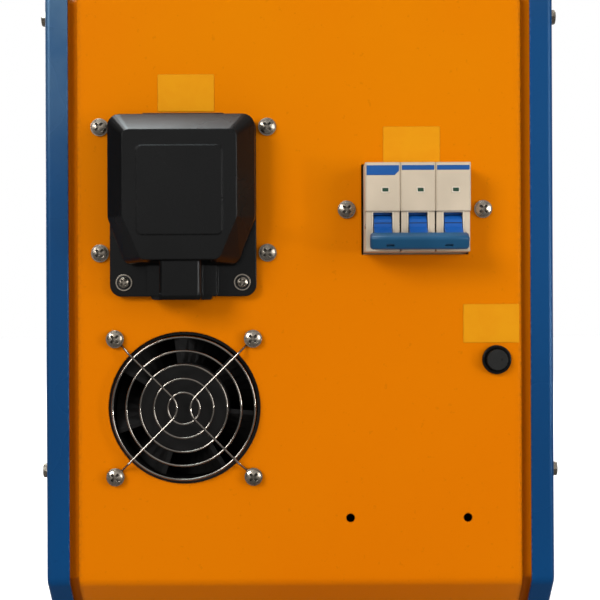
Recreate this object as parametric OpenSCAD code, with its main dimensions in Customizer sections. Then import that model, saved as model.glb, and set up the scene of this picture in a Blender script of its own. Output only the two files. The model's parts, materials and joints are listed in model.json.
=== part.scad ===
// Workshop induction heating machine: a sheet-metal case with two pan-shaped side covers,
// a rear panel with mains inlet cover, three-pole breaker, fuse holder and fan,
// and a front panel with controls, copper output terminals and cooling-water fittings.
// +Z is up, the rear panel faces -Y, and the origin is on the floor under the middle.

/* [Case] */
// Width over the two side covers
case_w = 264; // [252:1:290]
// Depth over the cover flanges, rear to front
case_d = 480; // [460:1:560]
// Upright height of the rear and front panels, from bend to bend
flat_h = 305; // [300:1:340]
// Rise and run of the sloped strip under the panels
slope_low = 30; // [26:1:40]
// Rise and run of the sloped strip above the panels
slope_high = 40; // [30:1:60]
// Radius of the bends between upright, sloped and level strips
bend_r = 7; // [4:0.5:9]
// Thickness of the case sheet
sheet = 1.5; // [1:0.1:2]
// Width of the side-cover flange that frames the panels
flange_w = 12; // [10:0.5:14]
// Outside bend radius along the edge of a side cover
edge_r = 2.6; // [2.2:0.1:4]
// Width of the groove between panel face and cover flange
groove_w = 5; // [3:0.5:6]
// Depth of that groove
groove_d = 5; // [4:0.5:8]
// Height of the rubber feet
foot_h = 22; // [16:1:30]
// Radius of a rubber foot at the case
foot_r = 17; // [14:1:20]

/* [Side cover bolts] */
// Height of the lower bolts above the lower bend
bolt_low = 57; // [40:1:80]
// Height of the upper bolts above the lower bend
bolt_high = 296; // [270:1:296]
// Distance of the bolts from the rear or front face
bolt_in = 15; // [13:0.5:17]
// Width of a bolt head across its flats
bolt_flats = 7; // [6.5:0.5:8]

/* [Louvres] */
// Number of louvres in each column
louvre_rows = 9; // [4:1:10]
// Length of a louvre without its round ends
louvre_l = 62; // [40:1:80]
// Height and reach of a louvre hood
louvre_r = 6; // [5:0.5:8]

/* [Handles] */
// Distance between the legs of a carrying handle
handle_span = 120; // [100:1:140]
// Height of the grip's centreline above the top cover
handle_rise = 38; // [34:1:60]
// Thickness of the handle bar
handle_bar = 11; // [9:0.5:14]

/* [Mains inlet] */
// Place of the inlet cover, as a share of the room between the middle and the panel's edge
inlet_share = 0.7767; // [0.7:0.001:0.9]
// Height of the inlet cover's middle above the lower bend
inlet_z = 196.3; // [192:0.5:200]
// Width of the inlet cover
inlet_w = 75.5; // [72:0.5:78]
// Height of the inlet cover
inlet_h = 95; // [92:0.5:100]
// Depth of the cover from its flange to its shoulder
inlet_shoulder = 13; // [10:0.5:16]
// Depth of the cover from its flange to its front face
inlet_depth = 24; // [20:0.5:30]
// Wall of the moulded cover
inlet_wall = 2.4; // [2:0.1:3]
// Radius of the cable entry
cable_r = 8.2; // [7:0.1:9]

/* [Breaker] */
// Place of the breaker, as a share of the room between the middle and the panel's edge
breaker_share = 0.8; // [0.75:0.001:0.9]
// Height of the breaker's middle above the lower bend
breaker_z = 193.5; // [185:0.5:200]
// Width of one pole
pole_w = 17.8; // [17.5:0.1:18]
// Height of the nose that passes through the panel
nose_h = 45; // [44:0.5:46]
// Reach of the nose out of the panel
nose_out = 20; // [16:0.5:22]
// Length of the bar that ties the three levers
tie_l = 49.4; // [46:0.2:52]
// Turn of the levers below level when the breaker is off
lever_off = 30; // [26:1:32]

/* [Fuse] */
// Distance of the fuse holder's middle from the edge of the panel face
fuse_in = 13; // [11:0.5:17]
// Height of the fuse holder above the lower bend
fuse_z = 115.4; // [100:0.5:125]
// Radius of the holder's flange
fuse_flange_r = 7.5; // [7.3:0.1:9]

/* [Fan] */
// Place of the fan, as a share of the room between the middle and the panel's edge
fan_share = 0.8; // [0.75:0.001:0.9]
// Height of the fan's axis above the lower bend
fan_z = 91; // [86:0.5:92]
// Side of the square fan frame
fan_side = 80; // [79.6:0.1:81]
// Thickness of the fan frame
fan_t = 38; // [32:1:40]
// Distance between the fan screws
fan_pitch = 71.5; // [71:0.1:72]
// Radius of the air hole in the panel
fan_hole_r = 39.5; // [38.5:0.1:40]
// Number of blades
blade_count = 7; // [5:1:9]
// Number of rings in the wire guard
ring_count = 5; // [4:1:6]
// Thickness of the guard wire
wire_d = 1.2; // [1:0.1:1.6]

/* [Spare holes] */
// Distance between the two spare holes in the rear panel
spare_pitch = 61; // [50:1:64]
// Radius of a spare hole
spare_r = 2.25; // [1.5:0.05:2.75]

/* [Front] */
// Distance of the control fascia from the edges of the panel face
fascia_in = 17; // [12:0.5:20]
// Height of the control fascia
fascia_h = 112; // [106:1:120]
// Distance between the two output terminals
output_pitch = 56; // [50:1:64]
// Reach of the output terminals out of the front panel
output_out = 42; // [36:1:60]
// Radius of the bolt hole in each output terminal
output_hole_r = 4.25; // [3:0.25:5]
// Distance between the water fittings
water_pitch = 150; // [140:1:160]

/* [Hidden] */
$fn = 48;

// Shared clearances: an overrun for cuts, a fitted gap, a running gap and a seating gap.
over = 1;
fit = 0.1;
run = 0.05;
seat = 0.3;
sliver = 0.01;

// Case values worked out from the driving sizes.
half_w = case_w / 2;
half_d = case_d / 2;
case_h = slope_low + flat_h + slope_high;
low_z = foot_h;
high_z = foot_h + case_h;
bend_z = foot_h + slope_low;
floor_z = low_z + sheet;
face_half = half_w - flange_w - groove_w;
side_in = half_w - sheet - seat;
return_w = 19;
tight_r = 0.6;
seam_in = 8;
lap_w = 16;
bend_steps = 5;
edge_steps = 4;
mitre = sqrt(2) - 1;

// M4 screws with captive washers, used all over both panels.
m4_r = 1.95;
m4_head_r = 3.9;
m4_head_h = 2.4;
m4_washer_r = 4.6;
m4_washer_t = 0.9;
dome_share = 0.42;
cross_w = 1.3;
cross_l = 5.2;
cross_d = 1.6;
panel_screw_l = 11;

// Outer reach behind and in front of the case, which sets the middle of the whole machine.
pivot_in = 6;
lever_arm = 15;
tie_t = 6.6;
tie_h = 8.8;
tie_round = 1.6;
tie_reach = nose_out - pivot_in + lever_arm * cos(lever_off) + (tie_t / 2 - tie_round) * cos(lever_off)
    + (tie_h / 2 - tie_round) * sin(lever_off) + tie_round;
back_plate_t = 2;
rear_reach = max(tie_reach, back_plate_t + inlet_depth);
front_reach = output_out;
middle_y = (rear_reach - front_reach) / 2;

// Corners of the case outline seen from the side, each surface moved inwards by i.
function corners(i) = let (k = mitre * i, y = half_d, lo = slope_low + k, hi = slope_high + k)
    [[-y + i, low_z + lo], [-y + lo, low_z + i], [y - lo, low_z + i], [y - i, low_z + lo],
     [y - i, high_z - hi], [y - hi, high_z - i], [-y + hi, high_z - i], [-y + i, high_z - hi]];

// One corner rounded: the arc from the edge that comes from a to the edge that leaves p.
function bend_arc(a, p, r) = let (f = atan2(p.y - a.y, p.x - a.x), way = [cos(f), sin(f)],
    out = [sin(f), -cos(f)], c = p - r * tan(22.5) * way - r * out)
    [for (s = [0:bend_steps]) let (t = f - 90 + 45 * s / bend_steps) c + r * [cos(t), sin(t)]];

// The rounded case outline, moved inwards by i.
function outline(i) = let (c = corners(i), r = max(bend_r - i, tight_r))
    [for (j = [0:7]) each bend_arc(c[(j + 7) % 8], c[j], r)];

// A box with rounded corners, seen from above, as points.
function round_box(w, h, r, cx = 0, cy = 0) = [for (q = [0:3], s = [0:6])
    let (sx = (q == 0 || q == 3) ? 1 : -1, sy = q < 2 ? 1 : -1, t = 90 * q + 15 * s)
    [cx + sx * (w / 2 - r) + r * cos(t), cy + sy * (h / 2 - r) + r * sin(t)]];

// A polygon with every corner cut by a short arc of radius r.
function round_corner(a, p, b, r) = let (u = (a - p) / norm(a - p), v = (b - p) / norm(b - p),
    half = acos(u * v) / 2, c = p + (u + v) / norm(u + v) * r / sin(half),
    t0 = atan2(p.y + u.y * r / tan(half) - c.y, p.x + u.x * r / tan(half) - c.x), turn = 180 - 2 * half,
    way = (u.x * v.y - u.y * v.x) < 0 ? 1 : -1)
    [for (s = [0:5]) let (t = t0 + way * turn * s / 5) c + r * [cos(t), sin(t)]];
function round_poly(p, r) = [for (i = [0:len(p) - 1])
    each round_corner(p[(i + len(p) - 1) % len(p)], p[i], p[(i + 1) % len(p)], r)];

// Frames: the case frame, and frames on the rear, front and side faces whose z points outwards.
module in_case() translate([0, middle_y, 0]) children();
module rear_at(x, z) in_case() translate([x, -half_d, bend_z + z]) rotate([90, 0, 0]) children();
module front_at(x, z) in_case() translate([-x, half_d, bend_z + z]) rotate([90, 0, 180]) children();
module side_at(side, y, z) in_case() translate([side * half_w, y, z]) rotate([90, 0, side * 90])
    children();
module along_x(x0, x1) translate([x0, 0, 0]) rotate([90, 0, 90]) linear_extrude(x1 - x0) children();

// Small shared shapes.
module block(size, base = [0, 0, 0]) translate(base - [size.x / 2, size.y / 2, 0]) cube(size);
module rod(p, q, r) translate(p) rotate([0, acos((q - p).z / norm(q - p)), atan2((q - p).y, (q - p).x)])
    cylinder(r = r, h = norm(q - p));
module ring(r_out, r_in, h) difference() {
    cylinder(r = r_out, h = h);
    translate([0, 0, -over]) cylinder(r = r_in, h = h + 2 * over);
}
module hexagon(flats, h) cylinder(r = flats / 2 / cos(30), h = h, $fn = 6);

// A pan-head screw with cross recess and captive washer; z = 0 is what the washer presses on.
module pan_screw(r, head_r, head_h, washer_r, washer_t, length) {
    dome_h = dome_share * head_h;
    dome_r = (head_r * head_r + dome_h * dome_h) / (2 * dome_h);
    difference() {
        union() {
            cylinder(r = washer_r, h = washer_t);
            translate([0, 0, washer_t]) intersection() {
                cylinder(r = head_r, h = head_h);
                translate([0, 0, head_h - dome_r]) sphere(r = dome_r);
            }
            translate([0, 0, -length]) cylinder(r = r, h = length + over);
        }
        for (a = [45, 135]) translate([0, 0, washer_t + head_h - cross_d * head_h / m4_head_h])
            rotate([0, 0, a]) block([cross_l * head_r / m4_head_r, cross_w, head_h]);
    }
}
module m4_screw(length) pan_screw(m4_r, m4_head_r, m4_head_h, m4_washer_r, m4_washer_t, length);

// CASE SHEETS
// A panel is a raised face, a folded edge, a margin behind the cover flange and a side return.
module outline_band(i0, i1) difference() {
    polygon(outline(i0));
    polygon(outline(i1));
}
module panel_sheet() {
    along_x(-face_half, face_half) intersection() {
        outline_band(0, sheet);
        children();
    }
    for (side = [-1, 1]) {
        along_x(side > 0 ? face_half - sheet : -face_half, side > 0 ? face_half : sheet - face_half)
            intersection() {
                outline_band(0, groove_d + sheet);
                children();
            }
        along_x(side > 0 ? face_half - sheet : -side_in, side > 0 ? side_in : sheet - face_half)
            intersection() {
                outline_band(groove_d, groove_d + sheet);
                children();
            }
        along_x(side > 0 ? side_in - sheet : -side_in, side > 0 ? side_in : sheet - side_in)
            intersection() {
                outline_band(groove_d, groove_d + return_w);
                children();
            }
    }
}

// Seams between the four sheets: the end panels reach a little way under the top and onto the base.
top_seam = half_d - slope_high - seam_in;
low_seam = half_d - slope_low - seam_in;
module end_region(end) polygon([[end * (half_d + over), low_z - over], [end * low_seam, low_z - over],
    [end * low_seam, bend_z], [end * top_seam, bend_z + flat_h], [end * top_seam, high_z + over],
    [end * (half_d + over), high_z + over]]);
module level_region(seam, z0, z1) polygon([[seat - seam, z0], [seam - seat, z0], [seam - seat, z1],
    [seat - seam, z1]]);

// Places of the side bolts and of the screws along the four seams, in case coordinates.
bolt_spots = [for (end = [-1, 1], h = [bolt_low, bolt_high]) [end * (half_d - bolt_in), bend_z + h]];
seam_screw_in = 22;
seam_screw_x = face_half - seam_screw_in;
lap_screw_in = lap_w / 2;
weld_nut_r = 5;
weld_nut_t = 4;
bolt_r = 2;

// An end panel: its strips, the laps under the top cover and over the base, and welded nuts.
module end_panel(end) {
    difference() {
        union() {
            panel_sheet() end_region(end);
            for (lap = [[top_seam, high_z - 2 * sheet - fit], [low_seam, low_z + sheet + fit]])
                translate([-face_half + sheet + seat, min(end * (lap[0] + lap_screw_in),
                    end * (lap[0] - lap_w)), lap[1]])
                    cube([2 * (face_half - sheet - seat), lap_w + lap_screw_in, sheet]);
            for (lap = [[top_seam, high_z - 2 * sheet - fit], [low_seam, low_z + sheet - over]])
                translate([-face_half + sheet + seat, min(end * (lap[0] + seat), end * (lap[0] + seam_in)),
                    lap[1]]) cube([2 * (face_half - sheet - seat), seam_in - seat, sheet + over + fit]);
            for (spot = bolt_spots, side = [-1, 1]) if (spot.x * end > 0)
                translate([side * (side_in - sheet), spot.x, spot.y]) rotate([0, -side * 90, 0])
                    cylinder(r = weld_nut_r, h = weld_nut_t);
        }
        for (spot = bolt_spots, side = [-1, 1]) if (spot.x * end > 0)
            translate([side * (side_in + over), spot.x, spot.y]) rotate([0, -side * 90, 0])
                cylinder(r = bolt_r + fit, h = weld_nut_t + sheet + 2 * over);
        seam_holes(end, m4_r + fit);
    }
}
module seam_holes(end, r) for (side = [-1, 1]) {
    translate([side * seam_screw_x, end * (top_seam - lap_screw_in), high_z - 3 * sheet])
        cylinder(r = r, h = 4 * sheet);
    translate([side * seam_screw_x, end * (low_seam - lap_screw_in), low_z - sheet])
        cylinder(r = r, h = 4 * sheet);
}

// The side covers: a plate with a flange folded in all round, louvres and bolt holes.
module cover_hull(inset, r, x_open) hull() {
    along_x(x_open, half_w - edge_r) polygon(outline(inset));
    for (s = [1:edge_steps]) let (t = 90 * s / edge_steps)
        translate([half_w - edge_r + r * sin(t) - sliver, 0, 0]) along_x(0, sliver)
            polygon(outline(inset + r * (1 - cos(t))));
}
louvre_pitch = 26;
louvre_y = case_d / 5;
louvre_z = bend_z + flat_h / 2 - louvre_pitch * (louvre_rows - 1) / 2;
louvre_spots = [for (i = [0:louvre_rows - 1]) louvre_z + i * louvre_pitch];
module capsule(r) {
    translate([-louvre_l / 2, 0, 0]) rotate([0, 90, 0]) cylinder(r = r, h = louvre_l);
    for (x = [-1, 1]) translate([x * louvre_l / 2, 0, 0]) sphere(r = r);
}
module louvre_slot() intersection() {
    translate([0, 0, -louvre_r / 2]) capsule(louvre_r - sheet);
    translate([-louvre_l, 0, -louvre_r]) cube([2 * louvre_l, louvre_r, louvre_r + over]);
}
module louvre_hood() intersection() {
    difference() {
        capsule(louvre_r);
        capsule(louvre_r - sheet);
    }
    translate([-louvre_l, 0, -sheet / 3]) cube([2 * louvre_l, louvre_r, louvre_r + sheet]);
}
module side_cover(side) {
    difference() {
        in_case() mirror([side < 0 ? 1 : 0, 0, 0]) difference() {
            cover_hull(0, edge_r, half_w - flange_w);
            cover_hull(sheet, edge_r - sheet, half_w - flange_w - over);
        }
        for (spot = bolt_spots) side_at(side, spot.x, spot.y) translate([0, 0, -sheet - over])
            cylinder(r = bolt_r + fit, h = sheet + 2 * over);
        for (z = louvre_spots) side_at(side, louvre_y, z) louvre_slot();
    }
    for (z = louvre_spots) side_at(side, louvre_y, z) louvre_hood();
}
module left_side_cover() color([0.08, 0.26, 0.43]) side_cover(-1);
module right_side_cover() color([0.08, 0.26, 0.43]) side_cover(1);

// Hex bolts with washers hold the side covers to the welded nuts.
bolt_head_h = 2.9;
bolt_washer_r = 4;
bolt_washer_t = 0.9;
module hex_bolt(length) {
    difference() {
        union() {
            cylinder(r = bolt_washer_r, h = bolt_washer_t);
            intersection() {
                hexagon(bolt_flats, bolt_washer_t + bolt_head_h);
                cylinder(r1 = bolt_flats, r2 = bolt_flats / 2, h = bolt_washer_t + bolt_head_h);
            }
            translate([0, 0, -length]) cylinder(r = bolt_r, h = length + over);
        }
        translate([0, 0, bolt_washer_t + bolt_head_h]) sphere(r = cross_w);
    }
}
module side_cover_bolts() color([0.72, 0.7, 0.66]) for (side = [-1, 1], spot = bolt_spots)
    side_at(side, spot.x, spot.y) hex_bolt(sheet + seat + sheet + weld_nut_t);

// REAR PANEL, with the places of the pieces that it carries
rail_screw_dx = 35.4;
inlet_x = -inlet_share * (face_half - inlet_w / 2);
breaker_x = breaker_share * (face_half - rail_screw_dx - m4_washer_r);
fuse_x = face_half - fuse_in;
fan_x = -fan_share * (face_half - fan_side / 2);
spare_in = 58.5;
spare_x = face_half - spare_in;
cutout_gap = 0.9;
spare_z = 33.4;
inlet_screw_dx = 43.5;
inlet_screw_dz = 32.7;
inlet_screw_up = 7.7;
inlet_screw_z = inlet_z + inlet_screw_up;
nose_w = 3 * pole_w + 2 * fit;
inlet_window_w = 52;
inlet_window_h = 56;
inlet_window_up = 8;
fuse_barrel_r = 6.2;
cover_screw_dx = 30.5;
cover_screw_up = 7.2;
cover_screw_r = 1.95;
panel_cut = sheet + 2 * over;
module rear_hole(x, z, r) rear_at(x, z) translate([0, 0, -sheet - over]) cylinder(r = r, h = panel_cut);
module rear_panel() color([0.85, 0.46, 0.02]) difference() {
    in_case() end_panel(-1);
    rear_hole(fan_x, fan_z, fan_hole_r);
    for (sx = [-1, 1], sz = [-1, 1]) {
        rear_hole(fan_x + sx * fan_pitch / 2, fan_z + sz * fan_pitch / 2, m4_r + fit);
        rear_hole(inlet_x + sx * inlet_screw_dx, inlet_screw_z + sz * inlet_screw_dz, m4_r + fit);
    }
    for (sx = [-1, 1]) {
        rear_hole(breaker_x + sx * rail_screw_dx, breaker_z, m4_r + fit);
        rear_hole(spare_x + sx * spare_pitch / 2, spare_z, spare_r);
        rear_hole(inlet_x + sx * cover_screw_dx, inlet_z - inlet_h / 2 + cover_screw_up,
            cover_screw_r + fit);
    }
    rear_hole(fuse_x, fuse_z, fuse_barrel_r + fit);
    rear_at(breaker_x, breaker_z) block([nose_w + 2 * cutout_gap, nose_h + 2 * cutout_gap, panel_cut],
        [0, 0, -sheet - over]);
    rear_at(inlet_x, inlet_z + inlet_window_up) block([inlet_window_w, inlet_window_h, panel_cut],
        [0, 0, -sheet - over]);
}

// TOP AND BASE
module top_cover() color([0.85, 0.46, 0.02]) in_case() difference() {
    panel_sheet() level_region(top_seam, high_z - slope_high, high_z + over);
    for (end = [-1, 1]) seam_holes(end, m4_r + fit);
    for (end = [-1, 1], side = [-1, 1], n = [-1, 1])
        translate([side * handle_span / 2 + n * handle_foot_dx, end * handle_y, high_z - sheet - over])
            cylinder(r = m4_r + fit, h = panel_cut);
}
foot_in_x = 40;
foot_in_y = 45;
foot_x = half_w - foot_in_x;
foot_y = half_d - slope_low - foot_in_y;
foot_bolt_r = 3;
module base_plate() color([0.85, 0.46, 0.02]) in_case() difference() {
    panel_sheet() level_region(low_seam, low_z - over, bend_z);
    for (end = [-1, 1]) seam_holes(end, m4_r + fit);
    for (x = [-1, 1], y = [-1, 1]) translate([x * foot_x, y * foot_y, low_z - over])
        cylinder(r = foot_bolt_r + fit, h = panel_cut);
}
module seam_screws() color([0.72, 0.7, 0.66]) in_case() for (end = [-1, 1], side = [-1, 1]) {
    translate([side * seam_screw_x, end * (top_seam - lap_screw_in), high_z]) m4_screw(3 * sheet);
    translate([side * seam_screw_x, end * (low_seam - lap_screw_in), low_z]) rotate([180, 0, 0])
        m4_screw(3 * sheet);
}

// Rubber feet: a tapered body with a hollow underside for the bolt head.
foot_taper = 4;
foot_recess_r = 7.5;
foot_web = 6;
foot_bolt_head_r = 5;
foot_bolt_head_h = 4;
foot_nut_flats = 10;
foot_nut_t = 5;
foot_round = 2;
module rubber_feet() color([0.08, 0.08, 0.08]) in_case() for (x = [-1, 1], y = [-1, 1])
    translate([x * foot_x, y * foot_y, 0]) rotate_extrude() polygon([[foot_bolt_r + fit, foot_h],
        [foot_r, foot_h], [foot_r - foot_taper * (foot_h - foot_round) / foot_h, foot_round],
        [foot_r - foot_taper - foot_round, 0], [foot_recess_r, 0], [foot_recess_r, foot_h - foot_web],
        [foot_bolt_r + fit, foot_h - foot_web]]);
module foot_bolts() color([0.72, 0.7, 0.66]) in_case() for (x = [-1, 1], y = [-1, 1])
    translate([x * foot_x, y * foot_y, 0]) {
        translate([0, 0, foot_h - foot_web - foot_bolt_head_h])
            cylinder(r = foot_bolt_head_r, h = foot_bolt_head_h);
        translate([0, 0, foot_h - foot_web - sliver])
            cylinder(r = foot_bolt_r, h = foot_web + sheet + foot_nut_t + over);
        translate([0, 0, floor_z]) hexagon(foot_nut_flats, foot_nut_t);
    }

// Carrying handles: a bent bar on two round feet, each held by two screws.
handle_in = 74;
handle_y = top_seam - handle_in;
handle_bend = 16;
handle_foot_r = 14;
handle_foot_t = 4;
handle_foot_dx = 8.8;
handle_foot_slim = 1.5;
module carry_handle(end) in_case() translate([0, end * handle_y, high_z]) difference() {
    union() {
        for (side = [-1, 1]) {
            translate([side * handle_span / 2, 0, 0]) cylinder(r1 = handle_foot_r,
                r2 = handle_foot_r - handle_foot_slim, h = handle_foot_t);
            translate([side * handle_span / 2, 0, 0]) cylinder(r = handle_bar / 2,
                h = handle_rise - handle_bend);
            translate([side * (handle_span / 2 - handle_bend), 0, handle_rise - handle_bend])
                rotate([90, 0, 0]) mirror([side < 0 ? 1 : 0, 0, 0]) rotate_extrude(angle = 90)
                    translate([handle_bend, 0]) circle(r = handle_bar / 2);
        }
        translate([handle_bend - handle_span / 2, 0, handle_rise]) rotate([0, 90, 0])
            cylinder(r = handle_bar / 2, h = handle_span - 2 * handle_bend);
    }
    for (side = [-1, 1], n = [-1, 1]) translate([side * handle_span / 2 + n * handle_foot_dx, 0, -over])
        cylinder(r = m4_r + fit, h = handle_foot_t + 2 * over);
}
module rear_handle() color([0.1, 0.1, 0.1]) carry_handle(-1);
module front_handle() color([0.1, 0.1, 0.1]) carry_handle(1);
module handle_screws() color([0.72, 0.7, 0.66]) in_case()
    for (end = [-1, 1], side = [-1, 1], n = [-1, 1])
        translate([side * handle_span / 2 + n * handle_foot_dx, end * handle_y, high_z + handle_foot_t])
            pan_screw(m4_r, handle_screw_r, m4_head_h, handle_screw_r, sliver, panel_screw_l);
handle_screw_r = 3.1;

// MAINS INLET: a moulded hood with a bevelled face and a cable spout, screwed on a back plate.
tab_w = 43;
tab_h = 2.2;
plate_round = 6;
hood_half_w = inlet_w / 2 - seat;
hood_top = inlet_h / 2 - tab_h;
hood_taper = 7.5;
hood_low = 31.6;
hood_low_half_w = 28.4;
face_in = 8.7;
face_top_in = 9.1;
face_low_in = 2.6;
hood_round = 6;
face_round = 3.6;
ear_t = 2.6;
pad_w = 43;
pad_h = 44.8;
pad_up = 5.8;
pad_t = 0.6;
pad_round = 2.8;
spout_half_w = 17.9;
spout_out = 12;
cable_out = 12;
collar_l = 3;
ridge_w = 2 * (cable_r + inlet_wall);
function hood_outline(w_in, top_in, low_in, r) = let (w = hood_half_w - w_in, lw = hood_low_half_w - w_in)
    round_poly([[w, hood_top - top_in], [-w, hood_top - top_in], [-w, -hood_taper],
        [-lw, low_in - hood_low], [lw, low_in - hood_low], [w, -hood_taper]], r);
module hood_hull(i, z0) hull() {
    translate([0, 0, z0]) linear_extrude(inlet_shoulder - z0 - i)
        polygon(hood_outline(i, i, i, hood_round - i));
    translate([0, 0, inlet_depth - i - pad_round]) linear_extrude(sliver)
        polygon(hood_outline(i + face_in - pad_round / 2, i + face_top_in - pad_round / 2,
            i + face_low_in / 2, face_round - i));
    translate([0, 0, inlet_depth - i - sliver]) linear_extrude(sliver)
        polygon(hood_outline(i + face_in, i + face_top_in, i + face_low_in, face_round - i));
}
module inlet_screw_spots() for (side = [-1, 1])
    translate([side * cover_screw_dx, cover_screw_up - inlet_h / 2, 0]) children();
module inlet_cover() color([0.09, 0.085, 0.08]) rear_at(inlet_x, inlet_z)
    translate([0, 0, back_plate_t]) difference() {
        union() {
            hood_hull(0, 0);
            translate([0, -tab_h / 2, 0]) linear_extrude(ear_t)
                polygon(round_box(inlet_w, inlet_h - tab_h, plate_round));
            translate([0, pad_up, inlet_depth - sliver]) linear_extrude(pad_t)
                polygon(round_box(pad_w, pad_h, pad_round));
            translate([0, -(inlet_h / 2 + hood_low) / 2, 0]) linear_extrude(spout_out)
                polygon(round_box(2 * spout_half_w, inlet_h / 2 - hood_low + inlet_wall, inlet_wall));
            cable_ridge(inlet_h / 2 - hood_low + inlet_wall);
        }
        difference() {
            intersection() {
                hood_hull(inlet_wall, -over);
                translate([0, inlet_h / 2 - hood_low, 0]) block([inlet_w, inlet_h, 2 * inlet_depth],
                    [0, 0, -over]);
            }
            cable_ridge(inlet_h / 2 - hood_low + inlet_wall + collar_l);
        }
        translate([0, -inlet_h, -over]) block([inlet_w, inlet_h, 2 * inlet_depth]);
        cable_way();
        inlet_screw_spots() translate([0, 0, -over]) cylinder(r = cover_screw_r + fit, h = panel_cut + over);
    }
// The cable comes in through a boxy ridge whose round bore ends in a collar behind the hood's wall.
module cable_ridge(l) translate([0, -inlet_h / 2, 0]) rotate([-90, 0, 0]) linear_extrude(l)
    polygon(round_box(ridge_w, cable_out + cable_r + inlet_wall, inlet_wall, 0,
        -(cable_out + cable_r + inlet_wall) / 2));
module cable_way() translate([0, -inlet_h / 2 - over, cable_out]) rotate([-90, 0, 0])
    cylinder(r = cable_r, h = inlet_h / 2 - hood_low + inlet_wall + collar_l + 2 * over);
module inlet_back_plate() color([0.06, 0.06, 0.06]) rear_at(inlet_x, inlet_z) difference() {
    linear_extrude(back_plate_t) union() {
        translate([0, -tab_h / 2]) polygon(round_box(inlet_w, inlet_h - tab_h, plate_round));
        polygon(round_box(tab_w, inlet_h, tab_h / 2));
    }
    translate([0, inlet_window_up, -over]) block([inlet_window_w, inlet_window_h, back_plate_t + 2 * over]);
    inlet_screw_spots() translate([0, 0, -over])
        cylinder(r = cover_screw_r + fit, h = back_plate_t + 2 * over);
}
cover_head_r = 2.7;
cover_head_h = 2;
cover_washer_r = 4.3;
module inlet_cover_screws() color([0.72, 0.7, 0.66]) rear_at(inlet_x, inlet_z) inlet_screw_spots()
    translate([0, 0, back_plate_t + ear_t])
        pan_screw(cover_screw_r, cover_head_r, cover_head_h, cover_washer_r, m4_washer_t,
            ear_t + back_plate_t + 2 * sheet);

// The bracket behind the panel carries the terminal block through the window.
bracket_depth = 16;
bracket_lip = 6.5;
bracket_h = 2 * (inlet_screw_dz + bracket_lip);
bracket_half_w = inlet_screw_dx + bracket_lip;
bracket_wall_x = inlet_screw_dx - bracket_lip;
module inlet_bracket() color([0.7, 0.71, 0.72]) rear_at(inlet_x, inlet_screw_z) difference() {
    union() {
        for (side = [-1, 1]) {
            translate([side * (bracket_half_w + bracket_wall_x) / 2, 0, -2 * sheet])
                block([bracket_half_w - bracket_wall_x, bracket_h, sheet]);
            translate([side * (bracket_wall_x + sheet / 2), 0, -bracket_depth])
                block([sheet, bracket_h, bracket_depth - sheet]);
        }
        translate([0, 0, -bracket_depth]) block([2 * bracket_wall_x + 2 * sheet, bracket_h, sheet]);
    }
    inlet_panel_screw_spots() translate([0, 0, -2 * sheet - over]) cylinder(r = m4_r + fit, h = panel_cut);
}
module inlet_panel_screw_spots() for (sx = [-1, 1], sz = [-1, 1])
    translate([sx * inlet_screw_dx, sz * inlet_screw_dz, 0]) children();
block_w = 49;
block_h = 25;
block_base = 9;
block_top = 19;
pole_pitch = 11.5;
rib_t = 1.6;
rib_step = 7;
module inlet_terminal_block() color([0.13, 0.13, 0.14]) rear_at(inlet_x, inlet_screw_z)
    translate([0, 0, sheet - bracket_depth]) difference() {
        union() {
            block([block_w, block_h, block_base]);
            block([block_w, block_h - 2 * rib_step, block_top - rib_t]);
            for (i = [-2:2]) block([rib_t, block_h, block_top], [i * pole_pitch, 0, 0]);
        }
        for (i = [-2:1]) translate([(i + 0.5) * pole_pitch, 0, block_base])
            cylinder(r = rib_t, h = block_top);
    }
clamp_w = 36;
clamp_len = 6;
clamp_y = 21.5;
clamp_leg = 7;
clamp_groove = 6;
clamp_wall = 3;
module inlet_cable_clamp() color([0.2, 0.2, 0.2]) rear_at(inlet_x, inlet_z)
    translate([0, -clamp_y, back_plate_t]) difference() {
        block([clamp_w, clamp_len, cable_out + clamp_groove + clamp_wall]);
        translate([0, 0, -over]) block([clamp_w - 2 * clamp_leg, 2 * clamp_len, cable_out / 2]);
        cable_tunnel();
    }
module cable_tunnel() {
    translate([0, clamp_len, cable_out]) rotate([90, 0, 0]) cylinder(r = clamp_groove, h = 2 * clamp_len);
    block([2 * clamp_groove, 2 * clamp_len, cable_out]);
}
output_z = 95;
output_plate_w = 124;
output_plate_h = 86;
output_plate_t = 10;
output_screw_in = 9;
module output_screw_spots() for (sx = [-1, 1], sz = [-1, 1])
    translate([sx * (output_plate_w / 2 - output_screw_in), sz * (output_plate_h / 2 - output_screw_in), 0])
        children();
module panel_screws() color([0.72, 0.7, 0.66]) {
    rear_at(inlet_x, inlet_screw_z) inlet_panel_screw_spots() m4_screw(panel_screw_l);
    rear_at(breaker_x, breaker_z) for (side = [-1, 1]) translate([side * rail_screw_dx, 0, 0])
        m4_screw(panel_screw_l);
    front_at(0, output_z) output_screw_spots() translate([0, 0, output_plate_t])
        m4_screw(output_plate_t + panel_screw_l);
}

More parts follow.
